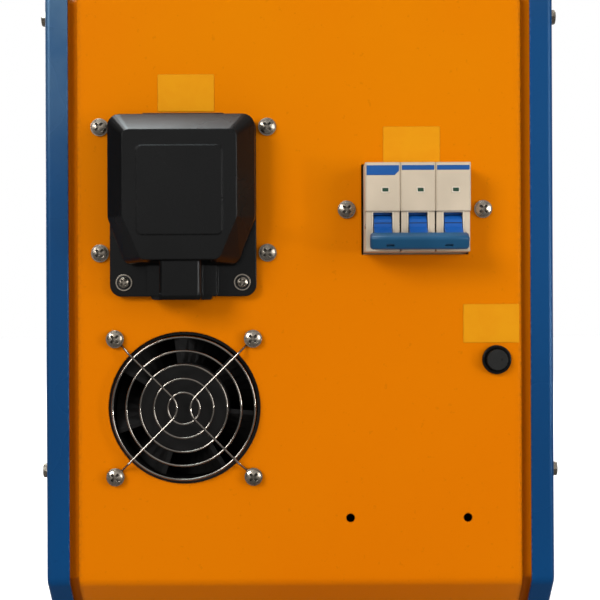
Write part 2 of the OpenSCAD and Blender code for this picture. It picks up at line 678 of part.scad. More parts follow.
// BREAKER: three pole modules on a rail, with levers tied by one bar.
pole_tall = 80;
shoulder_gap = 1;
body_d = 44;
shoulder_z = -sheet - shoulder_gap;
back_z = shoulder_z - body_d;
nose_step_y = 2;
nose_step = 1.2;
lever_drop = 9.5;
window_w = 9.7;
window_half_h = 6.8;
window_d = 13;
pocket_w = 13;
drum_r = 5.5;
lever_w = 9;
lever_t = 4.2;
axle_r = 1.2;
rail_w = 35;
rail_channel_w = 27;
rail_t = 1;
rail_d = 7.5;
rail_grip = 6;
rail_half_l = 44;
lug_y = 33;
lug_r = 3.2;
lug_d = 12;
lug_window = 7;
pole_chamfer = 0.45;
pole_slot_w = 0.35;
pole_slot_d = 9;
pole_slot_h = 24;
module breaker_at() rear_at(breaker_x, breaker_z) children();
module breaker_pole(i) color([0.77, 0.7, 0.61]) breaker_at() translate([i * pole_w, 0, 0]) difference() {
    translate([(fit - pole_w) / 2, 0, 0]) rotate([90, 0, 90]) linear_extrude(pole_w - fit) difference() {
        polygon([[-pole_tall / 2, back_z], [pole_tall / 2, back_z], [pole_tall / 2, shoulder_z],
            [nose_h / 2, shoulder_z], [nose_h / 2, nose_out], [-nose_step_y, nose_out],
            [-nose_step_y - nose_step / 2, nose_out - nose_step], [-nose_h / 2, nose_out - nose_step],
            [-nose_h / 2, shoulder_z], [-pole_tall / 2, shoulder_z]]);
        translate([-rail_w / 2 - fit, back_z - over]) square([rail_w + 2 * fit, rail_grip + over]);
    }
    block([window_w, 2 * window_half_h, window_d], [0, -lever_drop, nose_out - window_d + over]);
    for (side = [-1, 1]) {
        translate([side * (pole_w - fit) / 2, 0, nose_out]) rotate([0, 45, 0])
            cube([2 * pole_chamfer, nose_h + 2 * over, 2 * pole_chamfer], center = true);
        block([2 * pole_slot_w + fit, pole_slot_h, pole_slot_d],
            [side * pole_w / 2, -nose_step_y - pole_slot_h / 2, nose_out - pole_slot_d + over]);
    }
    translate([-pole_w, -lever_drop, nose_out - pivot_in]) rotate([0, 90, 0])
        cylinder(r = axle_r + fit, h = 2 * pole_w);
    for (y = [-lug_y, lug_y]) {
        translate([0, y, shoulder_z - lug_d]) cylinder(r = lug_r, h = lug_d + over);
        block([lug_window, pole_tall - 2 * lug_y + over, lug_window],
            [0, sign(y) * pole_tall / 2, shoulder_z - lug_d - lug_window]);
    }
}
module breaker_pole_1() breaker_pole(-1);
module breaker_pole_2() breaker_pole(0);
module breaker_pole_3() breaker_pole(1);

// Lever frame: x along the axle, z from the axle out along the lever as it rests.
module lever_at() breaker_at() translate([0, -lever_drop, nose_out - pivot_in]) rotate([lever_off, 0, 0])
    children();
lever_end = lever_arm + tie_t / 2 - tie_round;
module breaker_lever(i) color([0.12, 0.33, 0.56]) lever_at() translate([i * pole_w, 0, 0]) difference() {
    union() {
        translate([-lever_w / 2, 0, 0]) rotate([0, 90, 0]) cylinder(r = drum_r, h = lever_w);
        block([lever_w, lever_t, lever_end]);
    }
    translate([-lever_w, 0, 0]) rotate([0, 90, 0]) cylinder(r = axle_r + run, h = 2 * lever_w);
}
module breaker_lever_1() breaker_lever(-1);
module breaker_lever_2() breaker_lever(0);
module breaker_lever_3() breaker_lever(1);
notch_x = 14.6;
notch_w = 3.8;
notch_h = 1.3;
notch_up = 1.7;
notch_d = 2;
module breaker_tie_bar() color([0.17, 0.33, 0.46]) lever_at() difference() {
    translate([-tie_l / 2, 0, lever_arm]) rotate([90, 0, 90]) linear_extrude(tie_l)
        polygon(round_box(tie_h, tie_t, tie_round));
    for (i = [-1:1]) block([lever_w + 2 * fit, lever_t + 2 * fit, lever_end + fit], [i * pole_w, 0, 0]);
    for (side = [-1, 1]) block([notch_w, notch_h, tie_t],
        [side * notch_x, notch_up - tie_h / 2, lever_arm + tie_t / 2 - notch_d]);
}
module breaker_axle() color([0.6, 0.6, 0.6]) breaker_at()
    translate([fit - nose_w / 2, -lever_drop, nose_out - pivot_in]) rotate([0, 90, 0])
        cylinder(r = axle_r, h = nose_w - 2 * fit);
rail_front = back_z + rail_grip;
module breaker_rail() color([0.75, 0.76, 0.77]) breaker_at() difference() {
    translate([-rail_half_l, 0, 0]) rotate([90, 0, 90]) linear_extrude(2 * rail_half_l)
        polygon([[-rail_w / 2, rail_front], [-rail_w / 2, rail_front - rail_t],
            [-rail_channel_w / 2, rail_front - rail_t], [-rail_channel_w / 2, rail_front - rail_d],
            [rail_channel_w / 2, rail_front - rail_d], [rail_channel_w / 2, rail_front - rail_t],
            [rail_w / 2, rail_front - rail_t], [rail_w / 2, rail_front],
            [rail_channel_w / 2 - rail_t, rail_front],
            [rail_channel_w / 2 - rail_t, rail_front - rail_d + rail_t],
            [rail_t - rail_channel_w / 2, rail_front - rail_d + rail_t],
            [rail_t - rail_channel_w / 2, rail_front]]);
    for (side = [-1, 1]) translate([side * rail_screw_dx, 0, rail_front - 2 * rail_d])
        cylinder(r = m4_r + fit, h = 2 * rail_d);
}
standoff_flats = 7;
module rail_standoffs() color([0.72, 0.7, 0.66]) breaker_at() for (side = [-1, 1])
    translate([side * rail_screw_dx, 0, 0]) difference() {
        union() {
            translate([0, 0, rail_front - rail_d + rail_t])
                hexagon(standoff_flats, rail_d - rail_t - rail_front - sheet);
            translate([0, 0, rail_front - rail_d - rail_t]) cylinder(r = m4_r, h = 3 * rail_t);
            translate([0, 0, rail_front - rail_d - rail_t]) cylinder(r = m4_head_r, h = rail_t);
        }
        translate([0, 0, -panel_screw_l - over]) cylinder(r = m4_r + fit, h = panel_screw_l + over);
    }

// FUSE HOLDER with a cap that turns on the fuse and draws it out.
fuse_flange_t = 2.2;
fuse_barrel_l = 40;
fuse_bore_r = 4.8;
fuse_sink_r = 6.1;
fuse_sink = 1;
fuse_cap_r = 5.4;
fuse_cap_h = 4;
fuse_skirt_r = 4.4;
fuse_skirt_l = 10;
fuse_glass_r = 2.4;
fuse_end_r = 2.6;
fuse_end_l = 5;
fuse_l = 20;
fuse_start = 3;
fuse_nut_flats = 17;
fuse_nut_t = 4;
grip_count = 18;
grip_r = 0.4;
mark_r = 0.5;
mark_in = 3.3;
module fuse_at() rear_at(fuse_x, fuse_z) children();
module fuse_holder() color([0.06, 0.06, 0.06]) fuse_at() difference() {
    union() {
        cylinder(r = fuse_flange_r, h = fuse_flange_t);
        translate([0, 0, -fuse_barrel_l]) cylinder(r = fuse_barrel_r, h = fuse_barrel_l + over);
    }
    translate([0, 0, fuse_end_l - fuse_barrel_l]) cylinder(r = fuse_bore_r, h = fuse_barrel_l);
    translate([0, 0, fuse_flange_t - fuse_sink]) cylinder(r = fuse_sink_r, h = fuse_sink + over);
}
module fuse_holder_nut() color([0.1, 0.1, 0.1]) fuse_at() translate([0, 0, -sheet - fuse_nut_t])
    difference() {
        hexagon(fuse_nut_flats, fuse_nut_t);
        translate([0, 0, -over]) cylinder(r = fuse_barrel_r + fit, h = fuse_nut_t + 2 * over);
    }
module fuse_cap() color([0.05, 0.05, 0.05]) fuse_at() difference() {
    union() {
        translate([0, 0, fuse_flange_t - fuse_sink + seat]) cylinder(r = fuse_cap_r, h = fuse_cap_h);
        translate([0, 0, -fuse_skirt_l]) cylinder(r = fuse_skirt_r, h = fuse_skirt_l + fuse_flange_t + over);
    }
    translate([0, 0, -fuse_skirt_l - over])
        cylinder(r = fuse_end_r + run, h = fuse_skirt_l + over - fuse_start);
    for (i = [1:grip_count]) rotate([0, 0, i * 360 / grip_count])
        translate([fuse_cap_r + grip_r / 2, 0, fuse_flange_t - over])
            cylinder(r = grip_r, h = 2 * fuse_cap_h);
    translate([fuse_cap_r - mark_in, 0, fuse_flange_t - fuse_sink + seat + fuse_cap_h - grip_r])
        cylinder(r = mark_r, h = grip_r + over);
}
module fuse_glass() color([0.8, 0.85, 0.85]) fuse_at() translate([0, 0, -fuse_start - fuse_l + rib_t])
    ring(fuse_glass_r, fuse_glass_r - m4_washer_t, fuse_l - 2 * rib_t);
module fuse_ends() color([0.75, 0.74, 0.7]) fuse_at()
    for (z = [-fuse_start - fuse_end_l, -fuse_start - fuse_l]) translate([0, 0, z]) difference() {
        cylinder(r = fuse_end_r, h = fuse_end_l);
        translate([0, 0, z < -fuse_l ? m4_washer_t : -over]) cylinder(r = fuse_glass_r + sliver,
            h = fuse_end_l - m4_washer_t + over);
    }

// FAN behind the round hole: frame with struts, stator, rotor with twisted blades, wire guard.
fan_flange_t = 4;
fan_corner_r = 4;
fan_bore_in = 1.5;
fan_bore_r = fan_hole_r - fan_bore_in;
duct_t = 2;
hub_r = 23;
cup_t = 2;
cup_d = 24;
tip_gap = 0.9;
blade_h = 22;
blade_t = 2.4;
blade_twist = 46;
blade_steps = 6;
rotor_in = 3;
strut_w = 6;
strut_t = 4;
plate_r = 24;
tube_r = 5;
tube_wall_in = 9;
shaft_r = 1.5;
stator_r = 18;
stator_gap = 4;
slot_w = 3;
slot_count = 8;
boss_r = 4;
module fan_at() rear_at(fan_x, fan_z) children();
module fan_corners() for (sx = [-1, 1], sz = [-1, 1])
    translate([sx * fan_pitch / 2, sz * fan_pitch / 2, 0]) children();
module fan_frame() color([0.09, 0.09, 0.09]) fan_at() translate([0, 0, -sheet - fan_t]) difference() {
    union() {
        difference() {
            union() {
                for (z = [0, fan_t - fan_flange_t]) translate([0, 0, z]) linear_extrude(fan_flange_t)
                    polygon(round_box(fan_side, fan_side, fan_corner_r));
                cylinder(r = fan_bore_r + duct_t, h = fan_t);
            }
            translate([0, 0, -over]) cylinder(r = fan_bore_r, h = fan_t + 2 * over);
        }
        for (a = [30, 150, 270]) rotate([0, 0, a]) translate([0, -strut_w / 2, 0])
            cube([fan_bore_r + duct_t / 2, strut_w, strut_t]);
        cylinder(r = plate_r, h = strut_t);
        cylinder(r = tube_r, h = fan_t - rotor_in - tube_wall_in);
    }
    translate([0, 0, cup_t]) cylinder(r = shaft_r + run, h = fan_t);
    fan_corners() translate([0, 0, -over]) cylinder(r = m4_r + fit, h = fan_t + 2 * over);
}
module fan_motor() color([0.6, 0.35, 0.15]) fan_at() translate([0, 0, strut_t - sheet - fan_t])
    difference() {
        ring(stator_r, tube_r + run, cup_d - stator_gap);
        for (i = [1:slot_count]) rotate([0, 0, i * 360 / slot_count])
            translate([tube_r + duct_t, -slot_w / 2, stator_gap]) cube([stator_r, slot_w, cup_d]);
    }
module fan_blade() linear_extrude(blade_h, twist = -blade_twist, slices = blade_steps, $fn = 4)
    translate([hub_r - cup_t / 2, -blade_t / 2]) square([fan_bore_r - tip_gap - hub_r + cup_t / 2, blade_t]);
module fan_rotor() color([0.1, 0.1, 0.1]) fan_at() translate([0, 0, -sheet - rotor_in - cup_d]) union() {
    difference() {
        cylinder(r = hub_r, h = cup_d);
        translate([0, 0, -over]) cylinder(r = hub_r - cup_t, h = cup_d - cup_t + over);
    }
    translate([0, 0, cup_d - tube_wall_in + cup_t])
        ring(boss_r, shaft_r + sliver, tube_wall_in - cup_t - over);
    for (i = [1:blade_count]) rotate([0, 0, i * 360 / blade_count]) fan_blade();
}
module fan_shaft() color([0.7, 0.7, 0.7]) fan_at()
    translate([0, 0, 2 * cup_t - sheet - fan_t])
        cylinder(r = shaft_r, h = fan_t - rotor_in - 3 * cup_t - seat);

// The guard: two V-shaped wires over the rings, their ends looped round the fan screws.
guard_out = 5;
ring_first = 8.2;
ring_step = 7.15;
vee_c = 12;
vee_r = vee_c * sin(45);
wire_r = wire_d / 2;
loop_r = m4_r + wire_r + fit;
knee_r = 40.5;
foot_start_r = 46;
screw_far = fan_pitch / 2 * sqrt(2);
vee_start = vee_c * cos(45);
weld_bite = 0.4;
bead_over = 0.08;
bead_r = wire_r + bead_over;
ring_out = guard_out - wire_d + weld_bite;
module guard_arm() {
    rod([vee_start, 0, guard_out], [knee_r, 0, guard_out], wire_r);
    translate([knee_r, 0, guard_out]) sphere(r = bead_r);
    rod([knee_r, 0, guard_out], [foot_start_r, 0, bead_r], wire_r);
    translate([foot_start_r, 0, bead_r]) sphere(r = bead_r);
    rod([foot_start_r, 0, bead_r], [screw_far - loop_r + wire_r, 0, bead_r], wire_r);
    translate([screw_far, 0, bead_r]) rotate_extrude() translate([loop_r, 0]) circle(r = wire_r);
}
module fan_guard() color([0.7, 0.7, 0.68]) fan_at() {
    for (i = [0:ring_count - 1]) translate([0, 0, ring_out])
        rotate_extrude() translate([ring_first + i * ring_step, 0]) circle(r = wire_r);
    for (a = [45, 135, 225, 315]) rotate([0, 0, a]) guard_arm();
    for (side = [-1, 1]) translate([side * vee_c, 0, guard_out]) rotate([0, 0, side > 0 ? 135 : -45])
        rotate_extrude(angle = 90) translate([vee_r, 0]) circle(r = wire_r);
}
fan_screw_l = 14;
module fan_screws() color([0.72, 0.7, 0.66]) fan_at() fan_corners() translate([0, 0, bead_r + wire_r])
    m4_screw(fan_screw_l);

// FRONT PANEL with the control fascia, the output terminals and the water fittings.
fascia_w = 2 * (face_half - fascia_in);
fascia_z = 232;
fascia_t = 3;
fascia_round = 6;
lens_w = 66;
lens_h = 30;
lens_round = 2;
lens_share = 0.297;
lens_x = (fascia_w - lens_w) / 2 - lens_share * (fascia_w - 2 * lens_w);
lens_up = 28;
lens_out = 1;
lamp_r = 5;
lamp_bezel_r = 7;
lamp_bezel_t = 2;
lamp_depth = 24;
lamp_up = -20;
lamp_count = 3;
control_y = -24;
button_hole_r = 11;
button_ring_r = 14.5;
button_ring_t = 3.5;
button_body_d = 40;
button_block = 26;
button_cap_r = 9.2;
button_travel = 4;
button_proud = 5;
bush_r = 4.9;
knob_r = 15;

// The row of lamps, knob and buttons: each follows the ones before it and a share of the room left.
row_widths = concat([for (i = [1:lamp_count]) 2 * lamp_bezel_r],
    [2 * knob_r, 2 * button_ring_r, 2 * button_ring_r]);
row_shares = [0.197, 0.318, 0.439, 0.606, 0.811, 0.886];
function before(i) = i < 1 ? 0 : before(i - 1) + row_widths[i - 1];
row_room = fascia_w - before(len(row_widths));
function row_x(i) = before(i) + row_widths[i] / 2 + row_shares[i] * row_room - fascia_w / 2;
lamp_spots = [for (i = [0:lamp_count - 1]) [row_x(i), lamp_up]];
knob_x = row_x(lamp_count);
start_x = row_x(lamp_count + 1);
stop_x = row_x(lamp_count + 2);
water_z = 30;
fitting_r = 6.6;
socket_x = (face_half + output_plate_w / 2) / 2;
socket_r = 9.5;
output_window_w = 100;
output_window_h = 60;
module front_cut(x, z, r) front_at(x, z) translate([0, 0, -sheet - over]) cylinder(r = r, h = panel_cut);
module fascia_spot(x, y) front_at(x, fascia_z + y) children();
module front_panel() color([0.85, 0.46, 0.02]) difference() {
    in_case() end_panel(1);
    for (side = [-1, 1]) {
        front_cut(side * water_pitch / 2, water_z, fitting_r + fit);
        fascia_spot(side * lens_x, lens_up) block([lens_w + 2 * fit, lens_h + 2 * fit, panel_cut],
            [0, 0, -sheet - over]);
    }
    for (spot = lamp_spots) front_cut(spot.x, fascia_z + spot.y, lamp_r + fit);
    for (x = [start_x, stop_x]) front_cut(x, fascia_z + control_y, button_hole_r + fit);
    front_cut(knob_x, fascia_z + control_y, bush_r + fit);
    front_cut(-socket_x, output_z, socket_r + fit);
    front_at(0, output_z) {
        block([output_window_w, output_window_h, panel_cut], [0, 0, -sheet - over]);
        output_screw_spots() translate([0, 0, -sheet - over]) cylinder(r = m4_r + fit, h = panel_cut);
    }
}
module control_fascia() color([0.2, 0.22, 0.25]) fascia_spot(0, 0) difference() {
    linear_extrude(fascia_t) polygon(round_box(fascia_w, fascia_h, fascia_round));
    translate([0, 0, -over]) {
        for (side = [-1, 1]) translate([side * lens_x, lens_up, 0]) linear_extrude(fascia_t + 2 * over)
            polygon(round_box(lens_w + 2 * fit, lens_h + 2 * fit, lens_round + fit));
        for (spot = lamp_spots) translate(spot) cylinder(r = lamp_r + fit, h = fascia_t + 2 * over);
        for (x = [start_x, stop_x]) translate([x, control_y, 0])
            cylinder(r = button_hole_r + fit, h = fascia_t + 2 * over);
        translate([knob_x, control_y, 0]) cylinder(r = bush_r + fit, h = fascia_t + 2 * over);
    }
}
module display_lenses() color([0.25, 0.03, 0.03]) for (side = [-1, 1]) fascia_spot(side * lens_x, lens_up)
    linear_extrude(fascia_t + lens_out) polygon(round_box(lens_w, lens_h, lens_round));
module indicator_lamps() color([0.1, 0.6, 0.15]) for (spot = lamp_spots) fascia_spot(spot.x, spot.y) {
    translate([0, 0, -lamp_depth]) cylinder(r = lamp_r, h = lamp_depth + fascia_t + over);
    translate([0, 0, fascia_t]) cylinder(r = lamp_bezel_r, h = lamp_bezel_t);
    translate([0, 0, fascia_t + lamp_bezel_t]) intersection() {
        sphere(r = lamp_r);
        cylinder(r = lamp_r, h = lamp_r);
    }
}
module button_bodies() color([0.08, 0.08, 0.08]) for (x = [start_x, stop_x]) fascia_spot(x, control_y)
    difference() {
        union() {
            translate([0, 0, fascia_t]) cylinder(r1 = button_ring_r, r2 = button_ring_r - lens_out,
                h = button_ring_t);
            translate([0, 0, -button_body_d / 2])
                cylinder(r = button_hole_r, h = button_body_d / 2 + fascia_t + over);
            translate([0, 0, -button_body_d]) block([button_block, button_block, button_body_d / 2]);
        }
        translate([0, 0, -button_travel - 2 * over]) cylinder(r = button_cap_r + seat, h = button_body_d);
    }
module push_button(x, proud) fascia_spot(x, control_y) translate([0, 0, -over]) union() {
    cylinder(r = button_cap_r, h = over + fascia_t + button_ring_t + proud - lens_out);
    translate([0, 0, over + fascia_t + button_ring_t + proud - lens_out])
        cylinder(r1 = button_cap_r, r2 = button_cap_r - lens_out, h = lens_out);
}
module start_button() color([0.08, 0.5, 0.16]) push_button(start_x, button_proud);
module stop_button() color([0.7, 0.06, 0.05]) push_button(stop_x, button_proud);
knob_h = 15;
knob_lift = 1;
knob_cone = 1.5;
nut_flats = 13;
nut_t = 2.5;
shaft_stub_r = 3;
pot_r = 12;
pot_d = 13;
flute_r = 3;
flute_count = 10;
module power_control() color([0.7, 0.7, 0.7]) fascia_spot(knob_x, control_y) difference() {
    union() {
        translate([0, 0, -sheet - pot_d]) cylinder(r = pot_r, h = pot_d);
        translate([0, 0, -sheet - over]) cylinder(r = bush_r, h = sheet + fascia_t + nut_t + 2 * over);
        translate([0, 0, fascia_t]) hexagon(nut_flats, nut_t);
    }
    translate([0, 0, -sheet - pot_d / 2]) cylinder(r = shaft_stub_r + run, h = pot_d + knob_h);
}
module power_knob() color([0.05, 0.05, 0.05]) fascia_spot(knob_x, control_y)
    translate([0, 0, fascia_t + knob_lift]) {
        difference() {
            cylinder(r1 = knob_r, r2 = knob_r - knob_cone, h = knob_h);
            translate([0, 0, -over])
                cylinder(r = nut_flats / 2 + knob_cone, h = nut_t + 2 * over + knob_cone);
            for (i = [1:flute_count]) rotate([0, 0, (i + 0.5) * 360 / flute_count])
                translate([knob_r + flute_r / 3, 0, knob_h / 4]) cylinder(r = flute_r, h = knob_h);
            translate([0, knob_r / 2, knob_h - cross_w]) block([cross_w, knob_r, knob_h]);
        }
        translate([0, 0, -fascia_t - sheet - knob_lift]) cylinder(r = shaft_stub_r,
            h = fascia_t + sheet + knob_lift + knob_h / 2);
    }

// OUTPUT: an insulating plate with two copper terminals and the hole pattern for the work coil.
terminal_w = 32;
terminal_h = 34;
terminal_in = 24;
output_hole_d = 24;
terminal_chamfer = 2;
module output_plate() color([0.45, 0.12, 0.08]) front_at(0, output_z) difference() {
    linear_extrude(output_plate_t) polygon(round_box(output_plate_w, output_plate_h, fascia_round));
    for (side = [-1, 1]) block([terminal_w + 2 * fit, terminal_h + 2 * fit, output_plate_t + 2 * over],
        [side * output_pitch / 2, 0, -over]);
    output_screw_spots() translate([0, 0, -over]) cylinder(r = m4_r + fit, h = output_plate_t + 2 * over);
}
module output_terminals() color([0.72, 0.42, 0.25]) front_at(0, output_z) for (side = [-1, 1])
    translate([side * output_pitch / 2, 0, 0]) difference() {
        translate([0, 0, -terminal_in]) linear_extrude(terminal_in + output_out)
            polygon(round_box(terminal_w, terminal_h, terminal_chamfer));
        translate([0, 0, output_out - output_hole_d]) cylinder(r = output_hole_r, h = output_hole_d + over);
    }

// Hose barbs through the front panel, with inner barbs for the cooling hoses.
barb_r = 5;
barb_tip_r = 4.2;
barb_rib_r = 6;
barb_l = 24;
barb_bore_r = 3;
fitting_flats = 19;
fitting_hex_t = 8;
fitting_nut_t = 5;
barb_ribs = 3;
rib_pitch = 6;
module barb(l) {
    cylinder(r = barb_r, h = l);
    for (i = [1:barb_ribs]) translate([0, 0, l - i * rib_pitch])
        cylinder(r1 = barb_rib_r, r2 = barb_tip_r, h = rib_pitch);
}
module water_fittings() color([0.75, 0.6, 0.3]) for (side = [-1, 1]) front_at(side * water_pitch / 2, water_z)
    difference() {
        union() {
            hexagon(fitting_flats, fitting_hex_t);
            translate([0, 0, -sheet - fitting_nut_t])
                cylinder(r = fitting_r, h = sheet + fitting_nut_t + over);
            translate([0, 0, -sheet - fitting_nut_t]) hexagon(fitting_flats, fitting_nut_t);
            translate([0, 0, fitting_hex_t - sliver]) barb(barb_l);
            translate([0, 0, -sheet - fitting_nut_t + sliver]) rotate([180, 0, 0]) barb(barb_l);
        }
        translate([0, 0, -2 * barb_l]) cylinder(r = barb_bore_r, h = 4 * barb_l);
    }
socket_flange = 25;
socket_ring_r = 11;
socket_out = 9;
socket_in = 16;
socket_wall = 1.6;
pin_r = 0.8;
pin_ring = 4.6;
pin_count = 4;
module pedal_socket() color([0.5, 0.5, 0.5]) front_at(-socket_x, output_z) {
    difference() {
        union() {
            linear_extrude(fascia_t) polygon(round_box(socket_flange, socket_flange, lens_round));
            cylinder(r = socket_ring_r, h = socket_out);
            translate([0, 0, -socket_in]) cylinder(r = socket_r, h = socket_in + over);
        }
        translate([0, 0, fascia_t]) cylinder(r = socket_ring_r - socket_wall, h = socket_out);
    }
    for (i = [1:pin_count]) rotate([0, 0, i * 360 / pin_count]) translate([pin_ring, 0, fascia_t - over])
        cylinder(r = pin_r, h = socket_out - fascia_t);
}

// POWER STAGE inside: cold plate with modules, capacitors, transformer, control board, hoses.
cold_w = 96;
cold_l = 190;
cold_t = 20;
cold_x = -54;
cold_y = -20;
cold_leg = 12;
port_l = 12;
hose_r = 7.6;
hose_bore = 6.1;
hose_z = bend_z + water_z;
port_pitch = 40;
port_xs = [-water_pitch / 2, port_pitch - water_pitch / 2];
port_y = cold_y + cold_l / 2;
module cold_plate() color([0.7, 0.71, 0.72]) in_case() difference() {
    union() {
        translate([cold_x, cold_y, hose_z - cold_t / 2]) block([cold_w, cold_l, cold_t]);
        for (sx = [-1, 1], sy = [-1, 1]) translate([cold_x + sx * (cold_w - cold_leg) / 2,
            cold_y + sy * (cold_l - cold_leg) / 2, floor_z])
            block([cold_leg, cold_leg, hose_z - floor_z - cold_t / 2 + over]);
        for (x = port_xs) translate([x, port_y - over, hose_z]) rotate([-90, 0, 0])
            cylinder(r = hose_bore - fit, h = port_l + over);
    }
    for (x = port_xs) translate([x, port_y + port_l + over, hose_z]) rotate([90, 0, 0])
        cylinder(r = barb_bore_r, h = cold_l / 2);
}
module_w = 62;
module_l = 106;
module_h = 30;
bridge_w = 94;
bridge_l = 34;
module_lug_r = 5;
module_lug_h = 3;
module power_modules() color([0.1, 0.1, 0.11]) in_case() translate([cold_x, cold_y, hose_z + cold_t / 2]) {
    for (y = [0, module_w + cold_leg])
        translate([0, y - cold_l / 2 + bridge_l + module_w / 2 + cold_leg / 2, 0]) {
        block([bridge_w, module_w - cold_leg / 2, module_h]);
        for (x = [-1:1]) translate([x * bridge_l, 0, module_h]) cylinder(r = module_lug_r, h = module_lug_h);
    }
    translate([0, (bridge_l - cold_l) / 2, 0]) block([bridge_w, bridge_l - cold_leg / 3, module_h]);
}
can_r = 21;
can_h = 96;
can_pitch = 46;
can_x = 58;
can_y = 4;
can_rim_t = 2;
can_rim_h = 4;
module capacitor_bank() color([0.25, 0.3, 0.4]) in_case() {
    for (i = [-0.5, 0.5], j = [-1:1])
        translate([can_x + i * can_pitch, can_y + (j - 0.5) * can_pitch, floor_z]) difference() {
            union() {
                cylinder(r = can_r, h = can_h);
                translate([0, 0, can_h - over]) cylinder(r = module_lug_r, h = can_rim_h + over);
            }
            translate([0, 0, can_h - can_rim_t]) difference() {
                cylinder(r = can_r - can_rim_t, h = can_rim_h);
                translate([0, 0, -over]) cylinder(r = module_lug_r, h = can_rim_h + 2 * over);
            }
        }
    translate([can_x, can_y - can_pitch / 2, floor_z + can_h + can_rim_h])
        block([can_pitch + 2 * module_lug_r, 2 * can_pitch + 2 * module_lug_r, can_rim_t]);
}
core_w = 112;
core_d = 48;
core_h = 92;
core_in = 92;
core_y = half_d - core_in;
bar_w = 28;
bar_h = 24;
loop_back = 24;
primary_r = 34;
core_z = bend_z + output_z;
module transformer_core() color([0.2, 0.2, 0.21]) in_case() translate([0, core_y, core_z - core_h / 2])
    difference() {
        block([core_w, core_d, core_h]);
        for (side = [-1, 1]) block([bar_w + 2 * fit, core_d + 2 * over, bar_h + 2 * fit],
            [side * output_pitch / 2, 0, (core_h - bar_h) / 2 - fit]);
    }
module transformer_winding() color([0.72, 0.42, 0.25]) in_case() translate([0, 0, core_z - bar_h / 2]) {
    for (side = [-1, 1]) translate([side * output_pitch / 2 - bar_w / 2, core_y - core_d / 2 - loop_back, 0])
        cube([bar_w, half_d - terminal_in - core_y + core_d / 2 + loop_back, bar_h]);
    translate([-(output_pitch + bar_w) / 2, core_y - core_d / 2 - loop_back, 0])
        cube([output_pitch + bar_w, loop_back - cold_leg / 2, bar_h]);
}
board_w = 184;
board_h = 46;
board_t = 1.6;
board_in = 13;
board_post_r = 3.5;
chip_h = 5;
module control_board() color([0.05, 0.35, 0.15]) fascia_spot(0, lens_up) {
    translate([0, 0, -sheet - board_in]) block([board_w, board_h, board_t]);
    for (sx = [-1, 1], sy = [-1, 1]) translate([sx * (board_w / 2 - board_post_r - over),
        sy * (board_h / 2 - board_post_r - over), board_t - sheet - board_in - sliver])
        cylinder(r = board_post_r, h = board_in - board_t + sliver);
    for (side = [-1, 1]) {
        block([lens_w - 2 * board_post_r, lens_h - board_post_r, board_in + sheet - board_t - lens_out],
            [side * lens_x, 0, board_t - sheet - board_in - sliver]);
        block([4 * module_lug_r, 3 * module_lug_r, chip_h],
            [side * lens_x, 0, sliver - sheet - board_in - chip_h]);
    }
}
hose_bend = 22;
hose_way_y = half_d - sheet - fitting_nut_t - barb_l - hose_bend;
module hose_ring() difference() {
    circle(r = hose_r);
    circle(r = hose_bore);
}
module hose_along_y(x, y0, y1) translate([x, y1, hose_z]) rotate([90, 0, 0])
    linear_extrude(y1 - y0) hose_ring();
module hose_quarter(x, y, a) translate([x, y, hose_z]) rotate([0, 0, a]) rotate_extrude(angle = 90)
    translate([hose_bend, 0]) hose_ring();
hose_end_y = half_d - sheet - fitting_nut_t - sliver * 2;
module cooling_hoses() color([0.1, 0.25, 0.5]) in_case() {
    hose_along_y(port_xs[0], port_y + sliver, hose_end_y);
    hose_along_y(-port_xs[0], hose_way_y, hose_end_y);
    hose_quarter(-port_xs[0] - hose_bend, hose_way_y, -90);
    translate([port_xs[1] + hose_bend, hose_way_y - hose_bend, hose_z]) rotate([90, 0, 90])
        linear_extrude(-port_xs[0] - port_xs[1] - 2 * hose_bend) hose_ring();
    hose_quarter(port_xs[1] + hose_bend, hose_way_y - 2 * hose_bend, 90);
    hose_along_y(port_xs[1], port_y + sliver, hose_way_y - 2 * hose_bend);
}

left_side_cover();
right_side_cover();
rear_panel();
front_panel();
top_cover();
base_plate();
side_cover_bolts();
seam_screws();
rubber_feet();
foot_bolts();
rear_handle();
front_handle();
handle_screws();
inlet_cover();
inlet_back_plate();
inlet_cover_screws();
inlet_bracket();
inlet_terminal_block();
inlet_cable_clamp();
panel_screws();
breaker_pole_1();
breaker_pole_2();
breaker_pole_3();
breaker_lever_1();
breaker_lever_2();
breaker_lever_3();
breaker_tie_bar();
breaker_axle();
breaker_rail();
rail_standoffs();
fuse_holder();
fuse_holder_nut();
fuse_cap();
fuse_glass();
fuse_ends();
fan_frame();
fan_rotor();
fan_motor();
fan_shaft();
fan_guard();
fan_screws();
control_fascia();
display_lenses();
indicator_lamps();
start_button();
stop_button();
button_bodies();
power_knob();
power_control();
output_plate();
output_terminals();
water_fittings();
pedal_socket();
cold_plate();
power_modules();
capacitor_bank();
transformer_core();
transformer_winding();
control_board();
cooling_hoses();
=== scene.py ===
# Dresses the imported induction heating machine: a finish for every node, stickers, printed marks,
# display segments and small fittings. Then it lights the machine and sets the camera on its rear.
import json
import math

